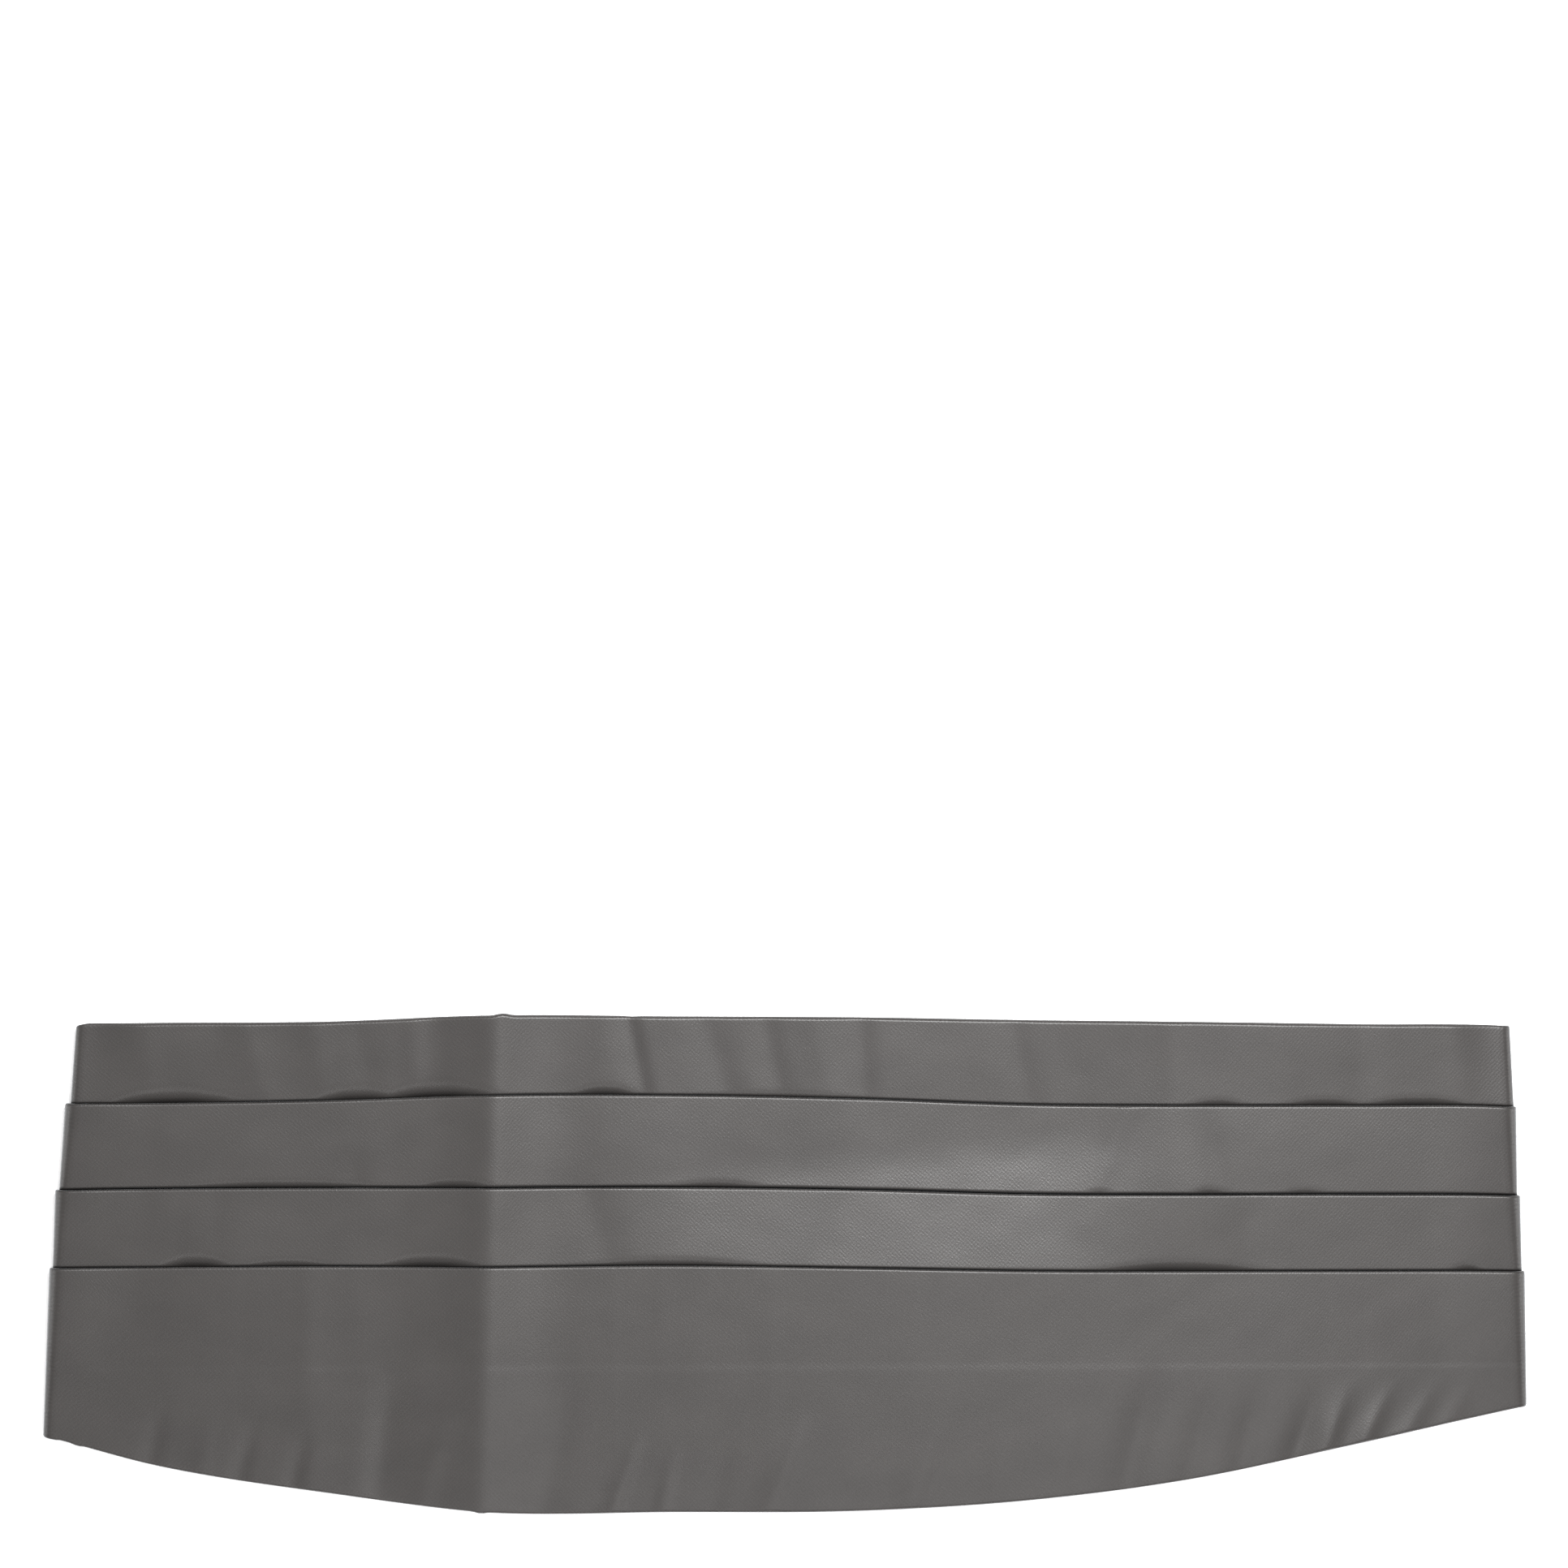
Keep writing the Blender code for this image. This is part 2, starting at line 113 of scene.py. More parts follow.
# Cloth thickness, the roll of its edges, and its offset where it lies hidden
CLOTH = 0.3
PANEL_REACH = 46.0
LIP_BASE = 0.45
LIP_BASE_REACH = 22.0
LIP_ROLL = 0.05
LIP_ROLL_REACH = 0.8
EDGE_ROLL = 0.10
EDGE_ROLL_REACH = 1.2
HEM_DEPTH = 10.0
TOP_TILT = 0.7
TAIL = 0.5
TAIL_REACH = 5.0
BACK = 0.5
BACK_REACH = 8.0

# How each tier rolls down into the gap beneath the next lip: depth and reach, by the lip's fold
Roll = namedtuple("Roll", "depth reach")
ROLLS = {"fold_1": Roll(1.2, 0.45), "fold_2": Roll(1.7, 0.70), "fold_3": Roll(1.3, 0.50)}

# Each tier's outer edges beyond the two folds, at its upper and its lower line
Sides = namedtuple("Sides", "left_top left_low right_top right_low")
SIDES = {
    "top": Sides(-185.3, -186.75, 189.5, 190.6),
    "fold_1": Sides(-188.2, -189.7, 191.25, 191.5),
    "fold_2": Sides(-190.8, -191.4, 192.3, 192.7),
    "fold_3": Sides(-192.3, -193.9, 193.5, 193.95),
}
SIDE_REACH = 30.0

# Small kinks in the outline: line, place, reach and height
Kink = namedtuple("Kink", "line place reach height")
KINKS = (
    Kink("top", -186.0, 3.2, -1.0),
    Kink("top", -73.6, 3.2, 0.5),
    Kink("top", -40.0, 3.0, -0.15),
    Kink("bottom", -79.5, 2.6, -0.35),
    Kink("bottom", -192.0, 2.4, -0.35),
    Kink("bottom", -185.5, 2.2, -0.3),
)

# Creases: the tier that each is in, a line across it, half width left and right of it, how round its top
# is, and its height, below 0 for a trough. The first is in every layer
Crease = namedtuple("Crease", "tier top_x top_y bottom_x bottom_y left right round height")
CREASES = (
    Crease("all", -75.2, 66.0, -79.3, -66.0, 27.0, 20.0, 2.5, 2.1),
    Crease("top", -92.0, 66.0, -95.0, 40.0, 10.0, 10.0, 4.0, -0.35),
    Crease("top", -41.0, 66.0, -36.2, 42.0, 8.0, 4.0, 0.8, -0.45),
    Crease("top", -22.0, 66.0, -16.0, 48.0, 9.0, 6.0, 2.0, -0.20),
    Crease("top", -5.6, 66.0, -1.0, 44.0, 8.0, 5.0, 1.4, -0.24),
    Crease("top", 8.0, 60.0, 12.0, 46.0, 9.0, 7.0, 2.0, 0.12),
    Crease("top", 19.4, 66.0, 20.4, 46.0, 9.0, 5.0, 2.0, -0.32),
    Crease("top", 58.8, 66.0, 63.0, 44.0, 10.0, 7.0, 2.0, -0.32),
    Crease("top", 101.0, 66.0, 101.5, 44.0, 8.0, 8.0, 2.0, 0.20),
    Crease("top", 128.0, 66.0, 131.0, 48.0, 6.0, 8.0, 2.0, 0.14),
    Crease("top", 150.0, 66.0, 151.0, 42.0, 12.0, 8.0, 2.5, -0.26),
    Crease("top", 176.0, 66.0, 179.0, 40.0, 8.0, 8.0, 2.0, 0.15),
    Crease("top", -97.5, 66.0, -96.0, 46.0, 7.0, 7.0, 2.0, 0.24),
    Crease("top", -111.0, 58.0, -108.0, 42.0, 7.0, 7.0, 2.0, -0.14),
    Crease("top", -124.0, 66.0, -121.0, 50.0, 7.0, 7.0, 2.0, 0.15),
    Crease("top", -142.0, 66.0, -137.0, 48.0, 7.0, 7.0, 2.0, 0.15),
    Crease("top", -168.0, 62.0, -166.0, 46.0, 9.0, 6.0, 2.0, 0.12),
    Crease("fold_1", -111.5, 14.0, -110.5, 0.0, 8.0, 7.0, 1.5, -0.32),
    Crease("fold_1", 88.6, 38.0, 80.6, 18.0, 7.0, 6.0, 1.2, 0.25),
    Crease("fold_1", 112.0, 27.0, 114.0, 18.0, 9.0, 7.0, 2.0, -0.25),
    Crease("fold_2", -52.0, 20.0, -46.0, -2.0, 8.0, 8.0, 3.0, -0.2),
    Crease("fold_2", 14.6, 14.0, 7.0, -2.0, 8.0, 8.0, 3.0, -0.2),
    Crease("fold_2", 122.0, 18.0, 119.0, -2.0, 9.0, 9.0, 3.0, -0.2),
    Crease("fold_3", -125.0, -14.0, -124.0, -56.0, 9.0, 9.0, 3.0, 0.24),
    Crease("fold_3", -104.0, -40.0, -107.0, -66.0, 6.0, 12.0, 2.0, -0.55),
    Crease("fold_3", -92.0, -52.0, -96.0, -66.0, 5.0, 5.0, 1.5, 0.20),
    Crease("fold_3", -128.0, -56.0, -130.0, -66.0, 5.0, 3.5, 1.0, -0.42),
    Crease("fold_3", -142.0, -54.0, -145.0, -66.0, 5.5, 3.5, 1.0, -0.42),
    Crease("fold_3", -152.0, -52.0, -154.0, -64.0, 5.0, 4.0, 1.2, 0.18),
    Crease("fold_3", -165.5, -50.0, -167.5, -60.0, 5.0, 4.0, 1.0, -0.32),
    Crease("fold_3", -59.0, -44.0, -64.0, -68.0, 8.0, 7.0, 2.5, -0.24),
    Crease("fold_3", -42.5, -58.0, -48.0, -74.0, 5.0, 3.0, 0.8, 0.46),
    Crease("fold_3", -31.0, -60.0, -34.0, -74.0, 3.5, 3.0, 0.8, 0.30),
    Crease("fold_3", -17.0, -56.0, -20.0, -72.0, 6.0, 5.0, 1.5, -0.14),
    Crease("fold_3", 0.0, -54.0, -7.5, -74.0, 8.0, 4.0, 1.2, 0.42),
    Crease("fold_3", 36.0, -54.0, 30.0, -72.0, 9.0, 4.0, 1.4, 0.34),
    Crease("fold_3", 56.0, -54.0, 53.0, -70.0, 5.0, 4.0, 1.4, 0.14),
    Crease("fold_3", 74.0, -50.0, 71.0, -66.0, 5.0, 4.0, 1.4, 0.14),
    Crease("fold_3", 93.0, -42.0, 87.0, -66.0, 9.0, 7.0, 2.2, -0.55),
    Crease("fold_3", 108.0, -46.0, 104.0, -64.0, 6.0, 5.0, 1.8, -0.30),
    Crease("fold_3", 121.0, -44.0, 117.0, -62.0, 6.0, 5.0, 1.8, -0.34),
    Crease("fold_3", 134.5, -46.0, 130.0, -60.0, 6.0, 5.0, 1.2, -0.62),
    Crease("fold_3", 142.0, -46.0, 137.0, -60.0, 5.0, 4.0, 1.0, 0.62),
    Crease("fold_3", 151.5, -46.0, 146.0, -58.0, 5.0, 4.0, 1.0, 0.66),
    Crease("fold_3", 162.0, -45.0, 156.0, -56.0, 5.0, 5.0, 1.4, 0.44),
    Crease("fold_3", 172.0, -44.0, 167.0, -54.0, 5.0, 5.0, 1.5, 0.26),
)
CREASE_FADE = 18.0
CREASE_POWER = 2.2
CREASE_KEEP_OFF = 2.0
CREASE_KEEP_REACH = 12.0

# Puckers: where a tier rolls down further under the next lip: place, reach along it, height and depth.
# Towards a pucker's ends its height shrinks to a share of that
Pucker = namedtuple("Pucker", "fold place reach height depth")
PUCKERS = (
    Pucker("fold_1", -160.0, 23.0, 5.4, 1.80),
    Pucker("fold_1", -112.0, 15.0, 4.8, 1.50),
    Pucker("fold_1", -91.0, 20.0, 5.4, 1.80),
    Pucker("fold_1", -47.0, 11.0, 3.6, 1.50),
    Pucker("fold_1", 0.0, 30.0, 2.2, 0.50),
    Pucker("fold_1", 113.0, 10.0, 2.6, 1.00),
    Pucker("fold_1", 141.0, 14.0, 2.8, 1.20),
    Pucker("fold_1", 165.0, 18.0, 3.2, 1.50),
    Pucker("fold_1", 185.0, 5.0, 2.6, 0.90),
    Pucker("fold_2", -132.0, 40.0, 2.6, 1.20),
    Pucker("fold_2", -86.0, 14.0, 3.4, 1.40),
    Pucker("fold_2", -18.0, 18.0, 2.6, 1.00),
    Pucker("fold_2", 82.0, 5.0, 2.2, 0.80),
    Pucker("fold_2", 111.0, 7.0, 2.6, 1.00),
    Pucker("fold_2", 136.0, 9.0, 2.2, 0.90),
    Pucker("fold_3", -154.0, 12.0, 4.8, 1.70),
    Pucker("fold_3", -130.0, 16.0, 2.6, 1.00),
    Pucker("fold_3", -92.0, 18.0, 4.8, 1.70),
    Pucker("fold_3", -30.0, 32.0, 2.8, 1.00),
    Pucker("fold_3", 103.0, 28.0, 3.8, 1.60),
    Pucker("fold_3", 178.0, 6.0, 2.8, 1.00),
)
PUCKER_FLATNESS = 1.1
PUCKER_POWER = 2.6
PUCKER_END = 0.3
PUCKER_TUCK = 7.0

# How much of the groove is left at the side edges, and the lowest offset that any face rolls down to
SIDE_GROOVE = 0.35
LOWEST = -0.55

# Painted shade: in the grooves and hollows, where the cloth's face lies against the next fold, the satin's
# colour is darkened and its specular and sheen are faded, and a little on each lip too
GROOVE_SHADE = {"fold_1": 0.75, "fold_2": 1.0, "fold_3": 0.85}
GROOVE_REACH = 0.95
HOLLOW_SHADE = 0.85
HOLLOW_REACH = 3.2
PUCKER_DEEPEST = max(pucker.depth for pucker in PUCKERS)
# Painted shade on each lip, dimming its highlight: how much and how far down from the lip
LIP_SHADE = 0.4
LIP_SHADE_REACH = 0.6
PAINTED_SHADE_COLOUR = (0.004, 0.0037, 0.0036, 1.0)

# Waviness of the front: wavelength, height and seed of each group of waves, and the spread of their lengths
Wave = namedtuple("Wave", "length height seed")
WAVES = (Wave(64.0, 0.09, 3), Wave(27.0, 0.025, 8), Wave(11.0, 0.008, 21))
WAVE_TERMS = 9
WAVE_SPREAD = (0.7, 1.4)

# The edge of the hem beneath, pressed through the lower panel
HEM_LINE_LEFT = -27.6
HEM_LINE_RIGHT = -26.4
HEM_STEP_REACH = 1.6
HEM_STEP_HEIGHT = 0.07

# The lining: how far in from the cloth's edge it stops, its layered edge, the wrinkles of its underside,
# and how it gives way under the deepest hollows
LINING_INSET = 0.8
LINING_STEP = 1.6
LINING_CLEAR = 0.02
LAYERS = 3
LAYER_DIP = 0.35
LAYER_STEPS = 5
WRINKLE_MIDDLE = 0.25
WRINKLE_LOW, WRINKLE_HIGH = -0.2, 0.3
WRINKLE_SCALE = 1.7
WRINKLE_SHIFT = 300.0
LINING_SLACK = 0.3
LINING_GIVE = 1.15

# Soft unevenness of the wings, only upwards, away from the floor
WING_RELIEF = 0.22
WING_RELIEF_REACH = 14.0
WING_RELIEF_GAIN = 4.0

# The angle from which an edge of a closed band or of the lining is sharp
SHARP_ANGLE = math.radians(60)

# Threads: how far in from a wing's end they lie, their size and pitch, and their thickness along them
STITCH_INSET_SHARE = 0.5
STITCH_RADIUS = 0.11
STITCH_ROWS = 2
STITCH_PITCH_ROWS = 3
STITCH_SIDES = 6
STITCH_SHAPE = ((0.0, 0.35), (0.15, 0.85), (0.5, 1.0), (0.85, 0.85), (1.0, 0.35))
LEAST_STITCH, MOST_STITCH = 1.0, 2.6
BAND_STITCH_LENGTH = 1.7
BAND_STITCH_PITCH = 2.4
BAND_STITCH_INSETS = (2.0, 7.0)

# The strap and its closing, as its solids have them
STRAP_WIDTH = 25.0
STRAP_THICKNESS = 1.0
STRAP_END = 122.0
TAB_START = 138.0
STRAP_STEP = 1.2
RIB_COUNT = 11
RIB_DEPTH = 0.09
STRAP_COLUMNS = 88
STRAP_EDGE_STEPS = 6

# The flat cut in the UVs, in units of 0.1 m, how many radians the wave texture counts to a unit, the
# pitches of the satin's slanting weave, how strong all the bumps are, and the satin's darker and lighter tone
UV_SCALE = 0.01
WAVE_FACTOR = 20.0
TWILL_PITCH = 0.74
WEFT_PITCH = 0.851
BUMP_STRENGTH = 0.5
SATIN_DARK = (0.0345, 0.0318, 0.0306)
SATIN_LIGHT = (0.0455, 0.0417, 0.0399)

# Area lights: place, what it faces, its size in metres and its power
Light = namedtuple("Light", "name place target size power")
LIGHTS = (
    Light("near_upper_right", (0.10, 0.32, 0.8), (0.0, 0.0, 0.0), (0.25, 0.25), 9.8),
    Light("near_right", (0.12, 0.1, 0.7), (0.12, 0.1, 0.0), (0.15, 0.5), 0.95),
    Light("low_left", (-1.5, 0.0, 0.12), (0.0, 0.0, 0.0), (0.15, 1.2), 5.0),
    Light("low_right", (1.5, 0.0, 0.12), (0.0, 0.0, 0.0), (0.15, 1.2), 7.0),
    Light("near_front", (0.0, -0.22, 0.55), (0.0, -0.05, 0.0), (0.6, 0.1), 0.75),
    Light("low_front", (0.0, -1.5, 0.12), (0.0, 0.0, 0.0), (1.2, 0.15), 9.0),
    Light("low_back", (0.0, 1.5, 0.12), (0.0, 0.0, 0.0), (1.2, 0.15), 3.0),
)
WORLD_STRENGTH = 0.37

# Camera and floor
FLOOR_SIZE = 6.0
FLOOR_GLOW = 0.55
PICTURE_WIDTH = 0.4096
CAMERA_X = 0.00004
CAMERA_Y = 0.1255
CAMERA_DISTANCE = 2.5
CLOTH_PLANE = 0.0055
SENSOR = 36.0
FAR_END = 20.0

collection = bpy.data.collections.new("cummerbund_looks")
bpy.context.scene.collection.children.link(collection)


def smoothstep(value):
    """A soft S from 0 at 0 to 1 at 1."""
    share = np.clip(value, 0.0, 1.0)
    return share * share * (3 - 2 * share)


@lru_cache(maxsize=None)
def line_table(name):
    """Places, heights and slopes of one line of the cut."""
    places = np.array([row.along for row in CUT])
    heights = np.array([getattr(row, name) for row in CUT])
    return places, heights, np.gradient(heights, places)


def cut_line(name, along):
    """Height of one line of the cut at places along it, on a smooth curve through the table."""
    along = np.asarray(along, dtype=float)
    places, heights, slopes = line_table(name)
    first = np.clip(np.searchsorted(places, along) - 1, 0, len(places) - 2)
    width = places[first + 1] - places[first]
    share = (along - places[first]) / width
    rise = share * share * (3 - 2 * share)
    start_pull = share * (1 - share) ** 2 * width * slopes[first]
    end_pull = share * share * (share - 1) * width * slopes[first + 1]
    y = heights[first] * (1 - rise) + heights[first + 1] * rise + start_pull + end_pull
    for kink in KINKS:
        if kink.line == name:
            y = y + kink.height * smoothstep(1 - np.abs(along - kink.place) / kink.reach)
    return y


def column_y(along, shear, name):
    """Where a line of the cut crosses leaning columns."""
    y = cut_line(name, along)
    for _ in range(CROSSING_ROUNDS):
        y = cut_line(name, along + shear * y)
    return y


def outward(fold):
    """The way out past a fold, across it."""
    return fold.side * math.cos(fold.lean), -fold.side * math.sin(fold.lean)


def beyond(fold, x, y):
    """How far past a fold a point of the cut lies, negative on the front."""
    out_x, out_y = outward(fold)
    return (x - fold.foot) * out_x + y * out_y


def inside_folds(x, y):
    """How far a point of the cut lies in from the nearer side fold, negative past it."""
    return np.minimum(-beyond(LEFT, x, y), -beyond(RIGHT, x, y))


def placed(points):
    """Points in millimetres of the cut's frame as metres of the part's frame."""
    return (points + (CENTRE_X, CENTRE_Y, 0.0)) * MM


def turned(fold, x, y, offset):
    """Points of the cut past a fold: on the half turn or on the wing beneath."""
    out_x, out_y = outward(fold)
    past = beyond(fold, x, y)
    angle = past / FOLD_RADIUS
    on_turn = past < HALF_TURN
    reach = np.where(on_turn, (FOLD_RADIUS + offset) * np.sin(angle), HALF_TURN - past)
    turn_z = STACK + FOLD_RADIUS + (FOLD_RADIUS + offset) * np.cos(angle)
    z = np.where(on_turn, turn_z, STACK - offset + wing_relief(x, y, past - HALF_TURN))
    return x + out_x * (reach - past), y + out_y * (reach - past), z


def past_column(fold, past):
    """Place and lean of the column that lies a given distance past a fold."""
    return fold.foot + fold.side * past / math.cos(fold.lean), math.tan(fold.lean)


@lru_cache(maxsize=None)
def wing_corner(fold, name):
    """Where a line of the cut ends, at the far end of a wing, in the plane of the floor."""
    along, shear = past_column(fold, HALF_TURN + fold.wing)
    y = column_y(along, shear, name)
    x, y, _ = turned(fold, along + shear * y, y, 0.0)
    return float(x), float(y)


def soft_interp(x, places, heights):
    """Heights at places, with a soft S between each two of the table's rows."""
    steps = np.interp(x, places, np.arange(len(places)))
    first = np.clip(np.floor(steps).astype(int), 0, len(places) - 2)
    heights = np.asarray(heights)
    return heights[first] + (heights[first + 1] - heights[first]) * smoothstep(steps - first)


def floor_height(x, y):
    """Height of the hidden layers' underside: on the wings, or lower between them over the strap."""
    places = [ramp.x for ramp in RAMPS]
    amount = soft_interp(x, places, [ramp.amount for ramp in RAMPS])
    end = np.interp(x, places, [ramp.end for ramp in RAMPS])
    share = np.clip((y - RAMP_START) / (end - RAMP_START), 0.0, 1.0)
    past = np.maximum(share - (1 - RAMP_SOFT_END), 0.0)
    return STACK - RAMP_DEPTH * amount * (share - past**2 / (2 * RAMP_SOFT_END))


def waviness(x, y):
    """A soft, uneven ripple: a few sine waves of near lengths in all directions."""
    total = np.zeros_like(x)
    for wave in WAVES:
        draw = np.random.default_rng(wave.seed)
        for _ in range(WAVE_TERMS):
            heading = draw.uniform(0, math.pi)
            length = wave.length * draw.uniform(*WAVE_SPREAD)
            phase = draw.uniform(0, 2 * math.pi)
            run = x * math.cos(heading) + y * math.sin(heading)
            total += wave.height / math.sqrt(WAVE_TERMS) * np.sin(2 * math.pi * run / length + phase)
    return total


def keep_off(x, y):
    """0 at the two folds and 1 away from them, so that no crease bends a side edge."""
    return smoothstep((inside_folds(x, y) - CREASE_KEEP_OFF) / CREASE_KEEP_REACH)


def creases_in(tier, x, y):
    """Height of one tier's own creases."""
    total = np.zeros_like(x)
    for crease in CREASES:
        if crease.tier != tier:
            continue
        share = (crease.top_y - y) / (crease.top_y - crease.bottom_y)
        from_line = x - (crease.top_x + share * (crease.bottom_x - crease.top_x))
        half_width = np.where(from_line < 0, crease.left, crease.right)
        rounded = np.hypot(from_line, crease.round) - crease.round
        across = np.clip(1 - rounded / half_width, 0.0, 1.0) ** CREASE_POWER
        fade_in = smoothstep((crease.top_y + CREASE_FADE - y) / CREASE_FADE)
        fade_out = smoothstep((y - crease.bottom_y + CREASE_FADE) / CREASE_FADE)
        total += crease.height * across * fade_in * fade_out
    return total * keep_off(x, y)


def shared_height(x, y):
    """Relief that all the layers share: the main crease and a soft waviness."""
    return creases_in("all", x, y) + waviness(x, y) * keep_off(x, y)


def front_height(x, y):
    """Height of the hidden layers' upper face."""
    return floor_height(x, y) + HIDDEN_THICKNESS + shared_height(x, y)


def to_world(x, y, offset):
    """Points of the cut at an offset out from the hidden layers, in metres, as an array (..., 3)."""
    x, y, offset = np.broadcast_arrays(x, y, offset)
    points = np.stack((x, y, front_height(x, y) + offset), axis=-1)
    for fold in FOLDS:
        past = (beyond(fold, x, y) > 0)[..., None]
        points = np.where(past, np.stack(turned(fold, x, y, offset), axis=-1), points)
    return placed(points)


def front_columns():
    """Places and leans of the columns of the front."""
    count = round((RIGHT.foot - LEFT.foot) / FRONT_STEP)
    front = np.linspace(LEFT.foot, RIGHT.foot, count + 1)
    lean = np.zeros_like(front)
    for fold in FOLDS:
        lean += math.tan(fold.lean) * smoothstep(1 - np.abs(front - fold.foot) / SHEAR_REACH)
    return front, lean


def all_columns():
    """Places and leans of every column: left wing, left turn, front, right turn, right wing."""
    columns = list(zip(*front_columns()))
    for fold in FOLDS:
        wing_steps = round(fold.wing / WING_STEP)
        pasts = [HALF_TURN * step / TURN_STEPS for step in range(1, TURN_STEPS + 1)]
        pasts += [HALF_TURN + fold.wing * step / wing_steps for step in range(1, wing_steps + 1)]
        beyond_fold = [past_column(fold, past) for past in pasts]
        columns = beyond_fold[::-1] + columns if fold.side < 0 else columns + beyond_fold
    return np.array(columns).T


def falling(distance, reach):
    """1 at distance 0 and below, curving down to 0 at the reach."""
    return np.clip(1 - distance / reach, 0.0, 1.0) ** 2


class Tier:
    """The lines and surface of one tier on all columns."""

    def __init__(self, upper, lower, on_tier, tucked):
        self.upper, self.lower, self.on_tier, self.tucked = upper, lower, on_tier, tucked
        self.along, self.shear = all_columns()
        self.top = column_y(self.along, self.shear, upper)
        self.low = column_y(self.along, self.shear, lower)
        self.base = self.lip_base() if on_tier else np.full_like(self.along, LOW)

    def lip_base(self):
        """Offset of the layer under the lip: lower on the front, where the cloth is pressed flat."""
        x = self.x(self.top)
        return HIGH - (HIGH - LIP_BASE) * smoothstep(inside_folds(x, self.top) / LIP_BASE_REACH)

    def x(self, y):
        """Places of the columns at heights y."""
        return self.along + self.shear * y

    def share_down(self, y):
        """How far down the tier the heights y are, from 0 at its upper line to 1 at its lower."""
        return np.clip((self.top - y) / (self.top - self.low), 0.0, 1.0)

    def face(self, y):
        """Offset of the tier's face at heights y on its columns."""
        x = self.x(y)
        down = self.top - y
        if self.on_tier and self.tucked:
            lift = self.base - (self.base - LOW) * self.share_down(y)
        elif self.on_tier:
            lift = self.base - (self.base - LOW) * smoothstep(down / PANEL_REACH)
        else:
            lift = LOW + TOP_TILT * (1 - self.share_down(y)) * keep_off(x, y)
        face = lift + WALL + creases_in(self.upper, x, y)
        if self.on_tier:
            face = face - LIP_ROLL * falling(down, LIP_ROLL_REACH)
        else:
            face = face - EDGE_ROLL * falling(down, EDGE_ROLL_REACH)
        if not self.tucked:
            line = np.interp(x, (LEFT.foot, RIGHT.foot), (HEM_LINE_LEFT, HEM_LINE_RIGHT))
            pressed = HEM_STEP_HEIGHT * (smoothstep((line - y) / HEM_STEP_REACH + 0.5) - 0.5)
            return face + pressed - EDGE_ROLL * falling(y - self.low, EDGE_ROLL_REACH)
        face = np.maximum(face - sunk(self.lower, x, y), LOWEST)
        return face + (TAIL - face) * smoothstep((self.low - y) / TAIL_REACH)

    def side_shift(self, y):
        """How far the sides move along x, so that the tier's outer edges are straight and in their place."""
        x = self.x(y)
        sides = SIDES[self.upper]
        share = self.share_down(y)
        total = np.zeros_like(y)
        for fold in FOLDS:
            line = fold.foot + math.tan(fold.lean) * y
            blend = smoothstep(1 - (np.abs(x - line) - HALF_TURN) / SIDE_REACH)
            edge = line + fold.side * (FOLD_RADIUS + self.face(y)) / math.cos(fold.lean)
            if fold.side < 0:
                wanted = sides.left_top + (sides.left_low - sides.left_top) * share
            else:
                wanted = sides.right_top + (sides.right_low - sides.right_top) * share
            total = total + (wanted - edge) * blend
        return total


def tuck_fade(above):
    """1 down to one reach beneath a fold, and fading to 0 at two."""
    return smoothstep(2 + above / PUCKER_TUCK)


def pucker_depth(name, x, y):
    """How far a tier rolls down near the fold that covers its lower edge."""
    above = y - cut_line(name, x)
    total = np.zeros_like(x)
    for pucker in PUCKERS:
        if pucker.fold == name:
            across = smoothstep(PUCKER_FLATNESS * (1 - np.abs(x - pucker.place) / pucker.reach))
            height = pucker.height * (PUCKER_END + (1 - PUCKER_END) * across)
            down = np.clip(1 - above / height, 0.0, 1.0) ** PUCKER_POWER
            total = np.maximum(total, pucker.depth * across * down * tuck_fade(above))
    return total


def sunk(name, x, y):
    """How far a tier is lower near the fold that covers its lower edge, less so at the side edges."""
    roll = ROLLS[name]
    above = y - cut_line(name, x)
    groove = roll.depth * falling(above, roll.reach) * tuck_fade(above)
    inside = smoothstep(inside_folds(x, y) / LIP_BASE_REACH)
    groove = groove * (SIDE_GROOVE + (1 - SIDE_GROOVE) * inside)
    return np.maximum(groove, pucker_depth(name, x, y) * keep_off(x, y))


def painted_shade_share(upper, lower, on_tier, tucked, x, y):
    """How much painted shade the cloth gets: up to 1 in the groove by the next lip and in the hollows, less
    on its own lip.
    """
    shade = np.zeros_like(x)
    # Painted shade in the groove by the next lip and in the hollows
    if tucked:
        above = y - cut_line(lower, x)
        line = GROOVE_SHADE[lower] * smoothstep(1 - above / GROOVE_REACH)
        hollow = pucker_depth(lower, x, y) / PUCKER_DEEPEST * smoothstep(1 - above / HOLLOW_REACH)
        shade = np.maximum(line, HOLLOW_SHADE * hollow * keep_off(x, y))
    # Painted shade on the tier's own lip, dimming its highlight
    if on_tier:
        down = cut_line(upper, x) - y
        shade = np.maximum(shade, LIP_SHADE * smoothstep(1 - down / LIP_SHADE_REACH))
    return shade


def lining_dent(x, y):
    """How far the hidden layers give way under the deepest hollows."""
    deepest = np.zeros_like(x)
    for name in ROLLS:
        deepest = np.maximum(deepest, sunk(name, x, y))
    return np.clip(deepest - LINING_SLACK, 0.0, LINING_GIVE) * keep_off(x, y)


def edge_rows(edge, way, face, under):
    """Rows round a folded edge from its face to the layer beneath, with way 1 for an upper edge, else -1."""
    radius = (face - under) / 2
    rows = []
    for step in range(1, NOSE_STEPS):
        angle = math.pi / 2 - math.pi * step / NOSE_STEPS
        rows.append((edge - way * radius * (1 - math.cos(angle)), under + radius * (1 + math.sin(angle))))
    return rows


def back_rows(edge, way, depth, offset, end_offset):
    """Rows of the layer turned under at an edge, from the edge inwards."""
    count = round(depth / ROW_STEP)
    rows = []
    for step in range(count + 1):
        share = step / count
        y = edge - way * depth * share
        rows.append((y, offset + (end_offset - offset) * min(1.0, share * depth / BACK_REACH)))
    return rows


